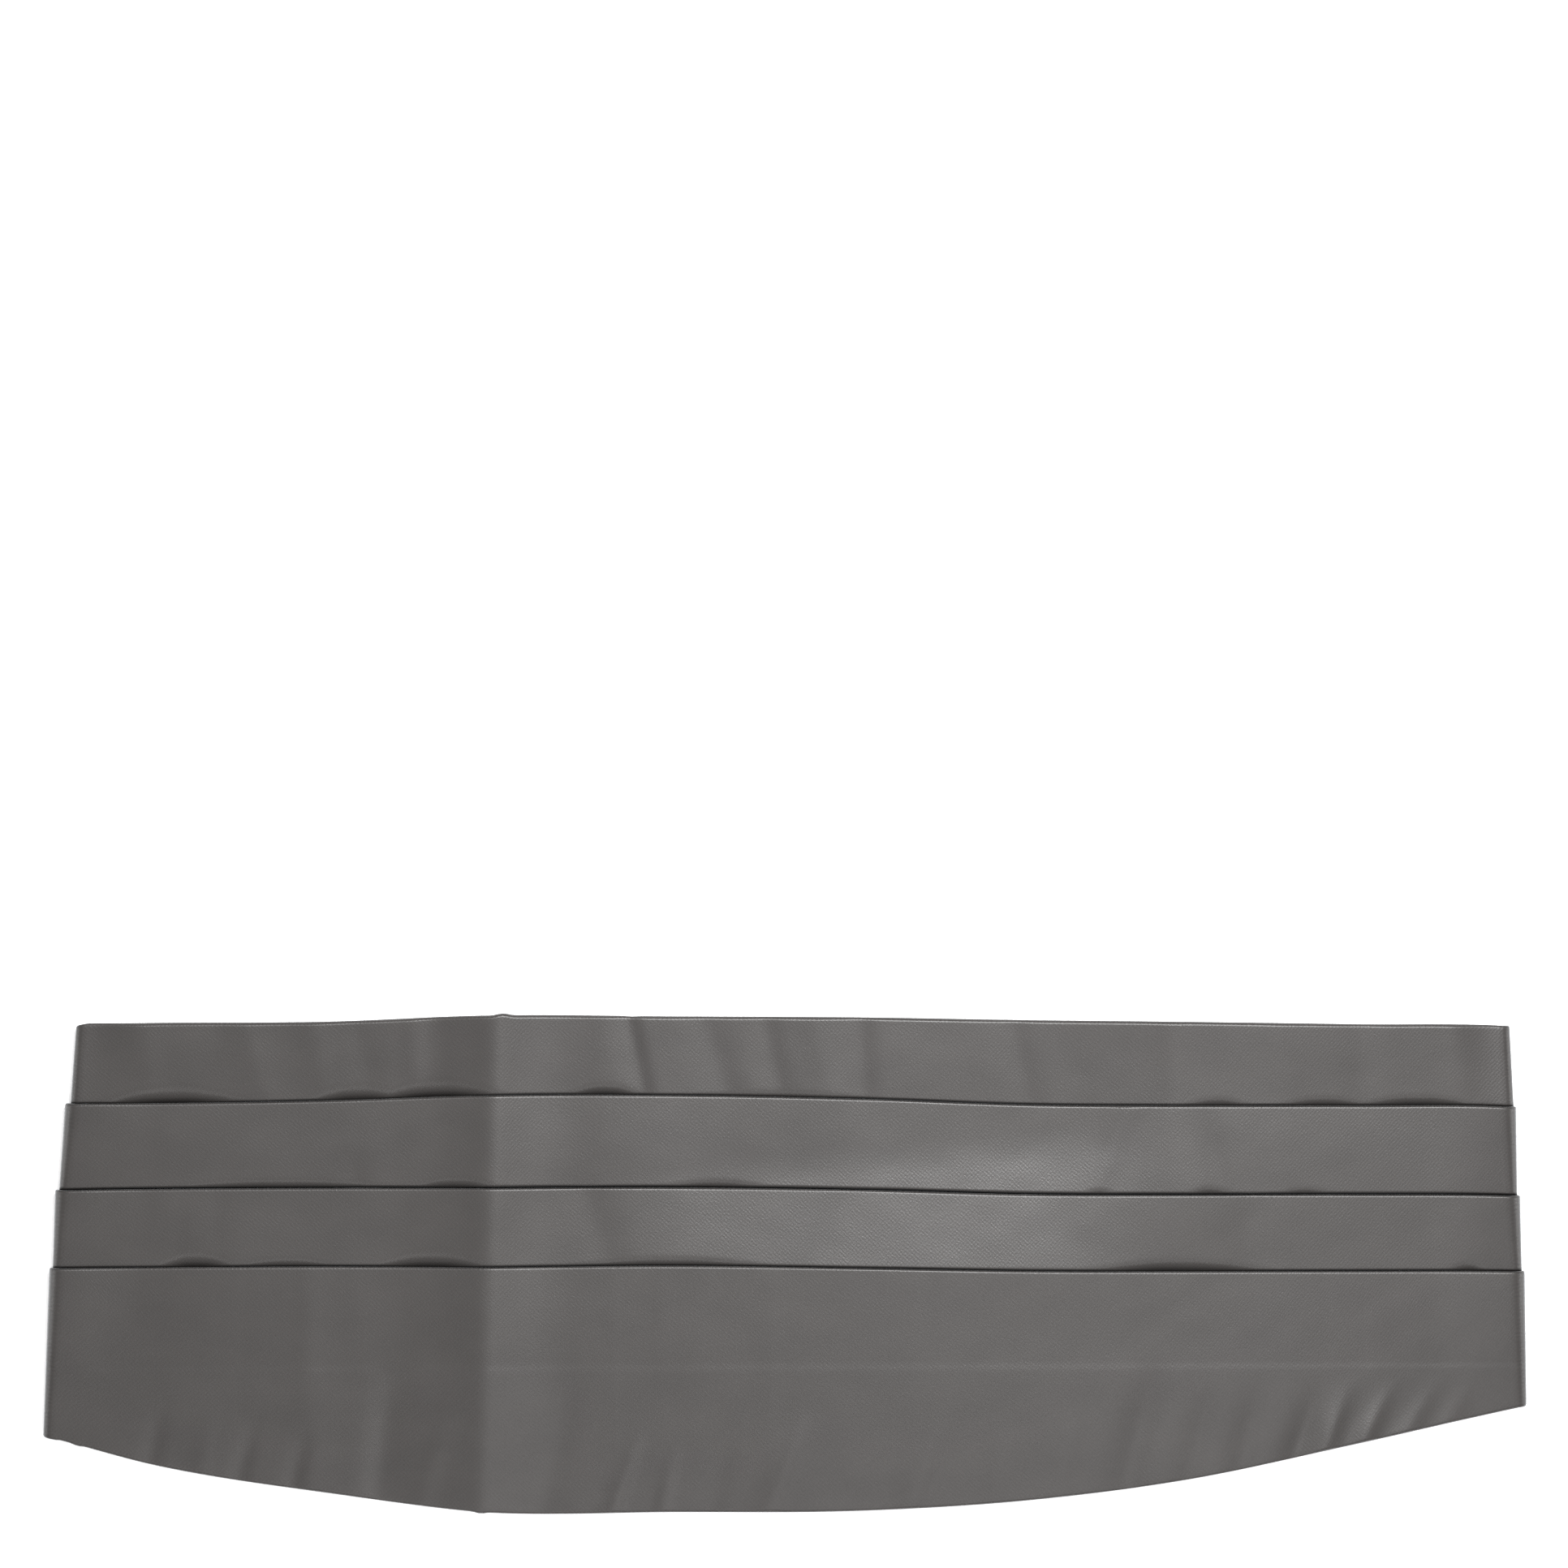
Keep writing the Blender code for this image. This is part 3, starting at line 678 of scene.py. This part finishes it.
def tier_grid(tier):
    """A tier's rows on all columns, from its lower end to its upper: cut x, height, offset and side shift."""
    if tier.tucked:
        start = tier.low
        depth = PLEAT_DEPTH - GAP
        count = round(depth / ROW_STEP)
        hidden = [start - depth * (count - step) / count for step in range(count)]
        rows = [(y, tier.face(y)) for y in hidden]
    else:
        low_face = tier.face(tier.low)
        start = tier.low + (low_face - LOW) / 2
        rows = back_rows(start, -1, HEM_DEPTH, np.full_like(tier.base, LOW), LOW)[::-1]
        rows += edge_rows(tier.low, -1, low_face, LOW)[::-1]
    top_face = tier.face(tier.top)
    end = tier.top - (top_face - tier.base) / 2
    first, last = start + NEAR_FOLD[-1], end - NEAR_LIP[0]
    count = round(float(np.max(last - first)) / ROW_STEP)
    heights = [start + distance for distance in NEAR_FOLD]
    heights += [first + (last - first) * step / count for step in range(1, count)]
    heights += [end - distance for distance in NEAR_LIP]
    rows += [(y, tier.face(y)) for y in heights]
    rows += edge_rows(tier.top, 1, top_face, tier.base)
    if tier.on_tier:
        rows += back_rows(end, 1, PLEAT_DEPTH - GAP, tier.base, BACK)
    else:
        rows += back_rows(end, 1, HEM_DEPTH, tier.base, tier.base)
    heights = np.array([row[0] for row in rows])
    offsets = np.array([row[1] for row in rows])
    shifts = np.array([tier.side_shift(y) for y in heights])
    return tier.x(heights), heights, offsets, shifts


def shown(name, mesh, material):
    """An object from a smooth mesh with one material, that belongs to the part."""
    mesh.materials.append(material)
    mesh.shade_smooth()
    made = bpy.data.objects.new(name, mesh)
    collection.objects.link(made)
    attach(made, "root")
    return made


def grid_object(name, points, flat, material, cyclic=False):
    """A mesh from a grid of points, with the flat cut as its UVs."""
    rows, columns = points.shape[:2]
    mesh = bpy.data.meshes.new(name)
    index = np.arange(rows * columns).reshape(rows, columns)
    if cyclic:
        index = np.concatenate((index, index[:1]))
    corners = (index[:-1, :-1], index[:-1, 1:], index[1:, 1:], index[1:, :-1])
    faces = np.stack(corners, axis=-1).reshape(-1, 4)
    mesh.from_pydata(points.reshape(-1, 3).tolist(), [], faces.tolist())
    layer = mesh.uv_layers.new(name="cut")
    vertices = np.empty(len(mesh.loops), dtype=np.int32)
    mesh.loops.foreach_get("vertex_index", vertices)
    layer.data.foreach_set("uv", (flat.reshape(-1, 2)[vertices] * UV_SCALE).ravel())
    return shown(name, mesh, material)


def make_tier(node, upper, lower, on_tier, tucked, material):
    """One tier of the pleated cloth as a thin shell, turned under at its lip or hem."""
    x, y, offset, shift = tier_grid(Tier(upper, lower, on_tier, tucked))
    points = to_world(x, y, offset)
    points[..., 0] += shift * MM
    steps = np.linalg.norm(np.diff(points, axis=0), axis=-1)
    spread = np.concatenate((np.zeros_like(steps[:1]), np.cumsum(steps, axis=0))) / MM
    made = grid_object(node + "_cloth", points, np.stack((x, spread), axis=-1), material)
    # Painted shade for the satin, kept on the points
    painted_shade = made.data.attributes.new("painted_shade", "FLOAT", "POINT")
    painted_shade.data.foreach_set("value", painted_shade_share(upper, lower, on_tier, tucked, x, y).ravel())
    shell = made.modifiers.new("thickness", "SOLIDIFY")
    shell.thickness = CLOTH * MM
    shell.offset = -1.0
    shell.use_rim = True
    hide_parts(node)
    return points


def make_lining(material):
    """Lining, hidden pleat folds and the wings' inner cloth, pressed together and layered at their edges."""
    front, shear = front_columns()
    top = column_y(front, shear, "top") - LINING_INSET
    bottom = column_y(front, shear, "bottom") + LINING_INSET
    count = round(float(np.max(top - bottom)) / LINING_STEP)

    def row(y, share):
        """Points at heights y, at a share of the way from the upper face down to the underside."""
        x = front + shear * y
        low = floor_height(x, y) + underside_relief(x, y)
        high = front_height(x, y) - LINING_CLEAR - lining_dent(x, y)
        return np.stack((x, y, high + (low - high) * share), axis=-1)

    rows = [row(bottom + (top - bottom) * step / count, 0.0) for step in range(count + 1)]
    rows += [row(top - inset, share) for inset, share in layered_profile()]
    rows += [row(top + (bottom - top) * step / count, 1.0) for step in range(count + 1)]
    rows += [row(bottom + inset, share) for inset, share in layered_profile()[::-1]]
    cut = np.array(rows)
    points = placed(cut)
    made = grid_object("lining", points, cut[..., :2], material, cyclic=True)
    close_ends(made)
    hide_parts("hidden_layers")


def layered_profile():
    """Insets and shares of the height down a layered edge, one bulge for each layer."""
    profile = []
    for layer in range(LAYERS):
        for step in range(1 if layer else 0, LAYER_STEPS + 1):
            share = (layer + step / LAYER_STEPS) / LAYERS
            bulge = math.sin(math.pi * step / LAYER_STEPS) ** 0.5
            profile.append((LAYER_DIP * (1 - bulge), share))
    return profile[1:-1]


def underside_relief(x, y):
    """Soft wrinkles in the lining's underside, only ever upwards, off the surface that it lies on."""
    wrinkle = waviness(x * WRINKLE_SCALE + WRINKLE_SHIFT, y * WRINKLE_SCALE)
    return WRINKLE_MIDDLE + np.clip(wrinkle, WRINKLE_LOW, WRINKLE_HIGH)


def wing_relief(x, y, past_turn):
    """How far a wing's layers lie higher than flat, none of it next to the fold."""
    rise = np.clip(0.5 + WING_RELIEF_GAIN * waviness(x - WRINKLE_SHIFT, y), 0.0, 1.0)
    return WING_RELIEF * rise * smoothstep(past_turn / WING_RELIEF_REACH)


def close_ends(made):
    """Fills the two open ends of a cyclic grid."""
    mesh = bmesh.new()
    mesh.from_mesh(made.data)
    rim = [edge for edge in mesh.edges if edge.is_boundary]
    bmesh.ops.holes_fill(mesh, edges=rim, sides=0)
    bmesh.ops.recalc_face_normals(mesh, faces=mesh.faces[:])
    mesh.to_mesh(made.data)
    mesh.free()
    made.data.shade_smooth()
    made.data.set_sharp_from_angle(angle=SHARP_ANGLE)


def wing_middle(fold):
    """The middle of a wing's end, one gap off it, and the way that the strap leaves it."""
    top = np.array(wing_corner(fold, "top"))
    bottom = np.array(wing_corner(fold, "bottom"))
    out = np.array(outward(fold))
    return (top + bottom) / 2 - out * GAP, -out


def strap_length():
    """From one wing's end to the other, in a straight line."""
    start, _ = wing_middle(LEFT)
    end, _ = wing_middle(RIGHT)
    return float(np.linalg.norm(end - start))


def strap_path(distance):
    """Point and direction of the strap at a distance from the left wing, on one soft bend."""
    start, start_way = wing_middle(LEFT)
    end, end_way = wing_middle(RIGHT)
    length = strap_length()
    share = distance / length
    pull_start, pull_end = start_way * length, -end_way * length
    point = (
        start * (1 - 3 * share**2 + 2 * share**3)
        + end * (3 * share**2 - 2 * share**3)
        + pull_start * share * (1 - share) ** 2
        - pull_end * share**2 * (1 - share)
    )
    way = (
        (end - start) * 6 * share * (1 - share)
        + pull_start * (1 - share) * (1 - 3 * share)
        - pull_end * share * (2 - 3 * share)
    )
    return point, way / np.linalg.norm(way)


def band_profile():
    """Sideways places and heights round a ribbed band: over its top, round an edge, back beneath, round."""
    radius = STRAP_THICKNESS / 2
    half = STRAP_WIDTH / 2 - radius
    profile = []
    for way in (1, -1):
        for step in range(STRAP_COLUMNS + 1):
            dip = RIB_DEPTH * (0.5 + 0.5 * math.cos(2 * math.pi * RIB_COUNT * step / STRAP_COLUMNS))
            side = half - 2 * half * step / STRAP_COLUMNS
            profile.append((way * side, radius + way * (radius - dip)))
        for step in range(1, STRAP_EDGE_STEPS):
            angle = way * (math.pi / 2 - math.pi * step / STRAP_EDGE_STEPS)
            profile.append((-way * (half + radius * math.cos(angle)), radius * (1 + math.sin(angle))))
    return np.array(profile)


def make_band(node, start, end, material):
    """A ribbed elastic band along the strap's path."""
    profile = band_profile()
    stations = np.linspace(start, end, max(2, round((end - start) / STRAP_STEP)) + 1)
    points = np.zeros((len(profile), len(stations), 3))
    flat = np.zeros((len(profile), len(stations), 2))
    for number, distance in enumerate(stations):
        point, way = strap_path(distance)
        across = np.array((-way[1], way[0]))
        points[:, number, :2] = point + across * profile[:, :1]
        points[:, number, 2] = profile[:, 1]
        flat[:, number, 0] = distance
        flat[:, number, 1] = profile[:, 0]
    made = grid_object(node + "_elastic", placed(points), flat, material, cyclic=True)
    close_ends(made)
    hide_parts(node)


def new_material(name):
    """A new material, with its node tree and shader."""
    material = bpy.data.materials.new(name)
    material.use_nodes = True
    return material, material.node_tree, material.node_tree.nodes["Principled BSDF"]


def flat_cut(tree):
    """The flat cut's own coordinates."""
    cut = tree.nodes.new("ShaderNodeUVMap")
    cut.uv_map = "cut"
    return cut.outputs["UV"]


def rotated(tree, vector, turn, scale=(1.0, 1.0, 1.0)):
    """A pattern's coordinates, turned by an angle and stretched."""
    mapping = tree.nodes.new("ShaderNodeMapping")
    mapping.vector_type = "TEXTURE"
    mapping.inputs["Rotation"].default_value = (0.0, 0.0, math.radians(turn))
    mapping.inputs["Scale"].default_value = scale
    tree.links.new(vector, mapping.inputs["Vector"])
    return mapping.outputs["Vector"]


def noise(tree, vector, scale, detail, dimensions="3D"):
    """Uneven specks."""
    pattern = tree.nodes.new("ShaderNodeTexNoise")
    pattern.noise_dimensions = dimensions
    pattern.inputs["Scale"].default_value = scale
    pattern.inputs["Detail"].default_value = detail
    tree.links.new(vector, pattern.inputs["Vector"])
    return pattern.outputs["Fac"]


def stretched_noise(tree, vector, turn, along, across, detail):
    """Uneven specks, finer one way than the other."""
    stretched = rotated(tree, vector, turn, (1.0 / along, 1.0 / across, 1.0))
    return noise(tree, stretched, scale=1.0, detail=detail, dimensions="2D")


def ribs(tree, vector, direction, pitch, distortion, detail, detail_scale=1.0):
    """Ribs at a pitch in millimetres, with wavy edges."""
    wave = tree.nodes.new("ShaderNodeTexWave")
    wave.bands_direction = direction
    wave.inputs["Scale"].default_value = 2 * math.pi / (WAVE_FACTOR * pitch * UV_SCALE)
    wave.inputs["Distortion"].default_value = distortion
    wave.inputs["Detail"].default_value = detail
    wave.inputs["Detail Scale"].default_value = detail_scale
    tree.links.new(vector, wave.inputs["Vector"])
    return wave.outputs["Fac"]


def mixed(tree, first, second, share):
    """Two patterns as one, with a share of the second."""
    mix = tree.nodes.new("ShaderNodeMix")
    mix.data_type = "FLOAT"
    mix.inputs["Factor"].default_value = share
    tree.links.new(first, mix.inputs["A"])
    tree.links.new(second, mix.inputs["B"])
    return mix.outputs["Result"]


def toned(tree, pattern, dark, light, dark_at, light_at):
    """Colours between a dark and a light one, by a pattern's value."""
    tone = tree.nodes.new("ShaderNodeValToRGB")
    low_end, high_end = tone.color_ramp.elements
    low_end.position = dark_at
    low_end.color = (*dark, 1.0)
    high_end.position = light_at
    high_end.color = (*light, 1.0)
    tree.links.new(pattern, tone.inputs["Fac"])
    return tone.outputs["Color"]


def ranged(tree, pattern, low_value, high_value):
    """A pattern's value on a range of its own."""
    to_range = tree.nodes.new("ShaderNodeMapRange")
    to_range.inputs["To Min"].default_value = low_value
    to_range.inputs["To Max"].default_value = high_value
    tree.links.new(pattern, to_range.inputs["Value"])
    return to_range.outputs["Result"]


def bumped(tree, shader, pattern, depth):
    """Raises the surface by a pattern, to a depth in millimetres."""
    bump = tree.nodes.new("ShaderNodeBump")
    bump.inputs["Strength"].default_value = BUMP_STRENGTH
    bump.inputs["Distance"].default_value = depth * MM
    tree.links.new(pattern, bump.inputs["Height"])
    tree.links.new(bump.outputs["Normal"], shader.inputs["Normal"])


def satin_material():
    """Grey satin: fine slanting weave, faint mottling, soft sheen that runs along the weave, and painted
    shade in the folds' grooves and hollows and on the lips.
    """
    material, tree, shader = new_material("grey_satin_cloth")
    shader.inputs["Roughness"].default_value = 0.36
    shader.inputs["Specular IOR Level"].default_value = 0.36
    shader.inputs["Sheen Weight"].default_value = 0.5
    shader.inputs["Sheen Roughness"].default_value = 0.35
    shader.inputs["Sheen Tint"].default_value = (0.90, 0.95, 1.0, 1.0)
    shader.inputs["Anisotropic"].default_value = 0.35
    cut = flat_cut(tree)
    tangent = tree.nodes.new("ShaderNodeTangent")
    tangent.direction_type = "UV_MAP"
    tangent.uv_map = "cut"
    tree.links.new(tangent.outputs["Tangent"], shader.inputs["Tangent"])

    # The weave and its unevenness
    slant = rotated(tree, cut, turn=-42.0)
    cross_slant = rotated(tree, cut, turn=48.0)
    twill = ribs(tree, slant, "X", TWILL_PITCH, distortion=2.0, detail=2.0, detail_scale=1.5)
    weft = ribs(tree, cross_slant, "X", WEFT_PITCH, distortion=2.5, detail=2.0, detail_scale=1.5)
    threads = mixed(tree, twill, weft, share=0.4)
    uneven = stretched_noise(tree, cut, turn=-45.0, along=140.0, across=260.0, detail=1.0)
    weave = mixed(tree, threads, uneven, share=0.62)
    mottle = stretched_noise(tree, cut, turn=10.0, along=5.0, across=9.0, detail=3.0)
    shade = mixed(tree, weave, mottle, share=0.45)
    tone = toned(tree, shade, SATIN_DARK, SATIN_LIGHT, dark_at=0.25, light_at=0.75)

    # Painted shade: the colour darkens towards near black and the specular and sheen fade by the painted
    # shade kept on the points, in the folds' grooves and hollows and on the lips
    painted_shade = tree.nodes.new("ShaderNodeAttribute")
    painted_shade.attribute_name = "painted_shade"
    darker = tree.nodes.new("ShaderNodeMix")
    darker.data_type = "RGBA"
    tree.links.new(painted_shade.outputs["Fac"], darker.inputs["Factor"])
    tree.links.new(tone, darker.inputs["A"])
    darker.inputs["B"].default_value = PAINTED_SHADE_COLOUR
    tree.links.new(darker.outputs["Result"], shader.inputs["Base Color"])
    for socket in ("Specular IOR Level", "Sheen Weight"):
        full = shader.inputs[socket].default_value
        less = ranged(tree, painted_shade.outputs["Fac"], low_value=full, high_value=0.0)
        tree.links.new(less, shader.inputs[socket])
    bumped(tree, shader, weave, depth=0.06)
    return material


def plain_weave_material(name, dark, light, pitch, roughness, depth):
    """A plain weave of crossing threads on the flat cut, with a slight unevenness of colour."""
    material, tree, shader = new_material(name)
    shader.inputs["Roughness"].default_value = roughness
    shader.inputs["Specular IOR Level"].default_value = 0.3
    shader.inputs["Sheen Weight"].default_value = 0.15
    cut = flat_cut(tree)
    weave = tree.nodes.new("ShaderNodeMath")
    weave.operation = "MAXIMUM"
    for number, direction in enumerate("XY"):
        threads = ribs(tree, cut, direction, 2 * pitch, distortion=0.6, detail=1.0)
        tree.links.new(threads, weave.inputs[number])
    cloud = noise(tree, cut, scale=6.0, detail=3.0)
    shade = mixed(tree, weave.outputs["Value"], cloud, share=0.4)
    tone = toned(tree, shade, dark, light, dark_at=0.2, light_at=0.9)
    tree.links.new(tone, shader.inputs["Base Color"])
    bumped(tree, shader, weave.outputs["Value"], depth)
    return material


def metal_material():
    """Satin nickel with fine brushing and a few duller spots."""
    material, tree, shader = new_material("satin_nickel")
    shader.inputs["Metallic"].default_value = 1.0
    place = tree.nodes.new("ShaderNodeTexCoord")
    mapping = tree.nodes.new("ShaderNodeMapping")
    mapping.inputs["Scale"].default_value = (300.0, 4000.0, 4000.0)
    tree.links.new(place.outputs["Object"], mapping.inputs["Vector"])
    brushed = noise(tree, mapping.outputs["Vector"], scale=5.0, detail=2.0)
    tone = toned(tree, brushed, (0.50, 0.49, 0.48), (0.68, 0.67, 0.66), dark_at=0.0, light_at=1.0)
    tree.links.new(tone, shader.inputs["Base Color"])
    tree.links.new(ranged(tree, brushed, low_value=0.22, high_value=0.38), shader.inputs["Roughness"])
    return material


def thread_mesh(name, stitches, material):
    """One mesh of short threads, each from its first point to its last, thick in the middle."""
    points, faces = [], []
    for first, last in stitches:
        first, last = np.array(first), np.array(last)
        way = (last - first) / np.linalg.norm(last - first)
        side = np.cross(way, (0.0, 0.0, 1.0))
        side = side / np.linalg.norm(side)
        rise = np.cross(side, way)
        start = len(points)
        for share, thick in STITCH_SHAPE:
            centre = first + (last - first) * share
            for step in range(STITCH_SIDES):
                angle = 2 * math.pi * step / STITCH_SIDES
                reach = STITCH_RADIUS * MM * thick
                points.append(centre + side * reach * math.cos(angle) + rise * reach * math.sin(angle))
        for ring in range(len(STITCH_SHAPE) - 1):
            for step in range(STITCH_SIDES):
                one = start + ring * STITCH_SIDES + step
                two = start + ring * STITCH_SIDES + (step + 1) % STITCH_SIDES
                faces.append((one, two, two + STITCH_SIDES, one + STITCH_SIDES))
        faces.append(tuple(range(start, start + STITCH_SIDES))[::-1])
        faces.append(tuple(range(len(points) - STITCH_SIDES, len(points))))
    mesh = bpy.data.meshes.new(name)
    mesh.from_pydata([tuple(point) for point in points], [], faces)
    shown(name, mesh, material)


def end_stitches(grids):
    """Where the threads of the seam at each wing's end lie, on the tiers' outer faces."""
    stitches = []
    for points in grids:
        for near, far in ((1, 0), (-2, -1)):
            line = points[:, near] + (points[:, far] - points[:, near]) * STITCH_INSET_SHARE
            line = line[line[:, 2] < STACK * MM / 2]
            line[:, 2] = np.maximum(line[:, 2], STITCH_RADIUS * MM)
            for row in range(0, len(line) - STITCH_ROWS, STITCH_PITCH_ROWS):
                first, last = line[row], line[row + STITCH_ROWS]
                if LEAST_STITCH < np.linalg.norm(last - first) / MM < MOST_STITCH:
                    stitches.append((first, last))
    return stitches


def band_stitches():
    """Where the threads across the strap and tab lie, at their sewn ends, on their undersides."""
    half = STRAP_WIDTH / 2 - STRAP_THICKNESS
    count = int(2 * half / BAND_STITCH_PITCH)
    sewn_ends = ((0.0, 1), (strap_length(), -1), (TAB_START, 1), (STRAP_END, -1))
    stitches = []
    for end, inwards in sewn_ends:
        for inset in BAND_STITCH_INSETS:
            point, way = strap_path(end + inwards * inset)
            across = np.array((-way[1], way[0]))
            for number in range(count):
                side = -half + BAND_STITCH_PITCH * number
                ends = [point + across * reach for reach in (side, side + BAND_STITCH_LENGTH)]
                stitches.append([placed(np.array((x, y, STITCH_RADIUS))) for x, y in ends])
    return stitches


def give_material(node, material):
    """Puts a material on a CAD node that stays."""
    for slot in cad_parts[node].material_slots:
        slot.material = material


def make_floor():
    """A plain, nearly white floor."""
    bpy.ops.mesh.primitive_plane_add(size=FLOOR_SIZE, location=(0.0, 0.0, 0.0))
    floor = bpy.context.object
    floor.name = "floor"
    material, _, shader = new_material("white_floor")
    shader.inputs["Base Color"].default_value = (0.93, 0.93, 0.93, 1.0)
    shader.inputs["Roughness"].default_value = 0.9
    shader.inputs["Specular IOR Level"].default_value = 0.1
    shader.inputs["Emission Color"].default_value = (1.0, 1.0, 1.0, 1.0)
    shader.inputs["Emission Strength"].default_value = FLOOR_GLOW
    floor.data.materials.append(material)


def make_lights():
    """Soft studio light: a key from the upper right, small fills, low lights all round and a pale world."""
    for row in LIGHTS:
        data = bpy.data.lights.new(row.name, "AREA")
        data.shape = "RECTANGLE"
        data.size, data.size_y = row.size
        data.energy = row.power
        light = bpy.data.objects.new(row.name, data)
        light.location = row.place
        light.visible_camera = False
        aim = Vector(row.target) - Vector(row.place)
        light.rotation_euler = aim.to_track_quat("-Z", "Y").to_euler()
        bpy.context.scene.collection.objects.link(light)
    world = bpy.context.scene.world or bpy.data.worlds.new("studio")
    bpy.context.scene.world = world
    world.use_nodes = True
    background = world.node_tree.nodes["Background"]
    background.inputs["Color"].default_value = (1.0, 1.0, 1.0, 1.0)
    background.inputs["Strength"].default_value = WORLD_STRENGTH
    bpy.context.scene.view_settings.view_transform = "Standard"


def make_camera():
    """Straight down, framed so that the picture is 409.6 mm wide at the cloth."""
    data = bpy.data.cameras.new("camera")
    data.type = "PERSP"
    data.sensor_width = SENSOR
    data.lens = SENSOR * CAMERA_DISTANCE / PICTURE_WIDTH
    data.clip_end = FAR_END
    camera = bpy.data.objects.new("camera", data)
    camera.location = (CAMERA_X, CAMERA_Y, CLOTH_PLANE + CAMERA_DISTANCE)
    bpy.context.scene.collection.objects.link(camera)
    bpy.context.scene.camera = camera


make_camera()
make_floor()
make_lights()

satin = satin_material()
backing = plain_weave_material(
    "grey_lining", (0.070, 0.067, 0.066), (0.105, 0.101, 0.100), pitch=0.5, roughness=0.6, depth=0.05
)
elastic = plain_weave_material(
    "woven_elastic", (0.085, 0.081, 0.080), (0.135, 0.130, 0.128), pitch=0.9, roughness=0.7, depth=0.1
)
thread = plain_weave_material(
    "grey_thread", (0.110, 0.106, 0.104), (0.190, 0.184, 0.180), pitch=0.25, roughness=0.5, depth=0.03
)
nickel = metal_material()

make_lining(backing)
grids = [
    make_tier("top_band", "top", "fold_1", on_tier=False, tucked=True, material=satin),
    make_tier("pleat_upper", "fold_1", "fold_2", on_tier=True, tucked=True, material=satin),
    make_tier("pleat_lower", "fold_2", "fold_3", on_tier=True, tucked=True, material=satin),
    make_tier("lower_panel", "fold_3", "bottom", on_tier=True, tucked=False, material=satin),
]
make_band("strap", 0.0, STRAP_END, elastic)
make_band("tab", TAB_START, strap_length(), elastic)
thread_mesh("end_stitching", end_stitches(grids), thread)
thread_mesh("strap_stitching", band_stitches(), thread)
give_material("hook", nickel)
give_material("loop", nickel)
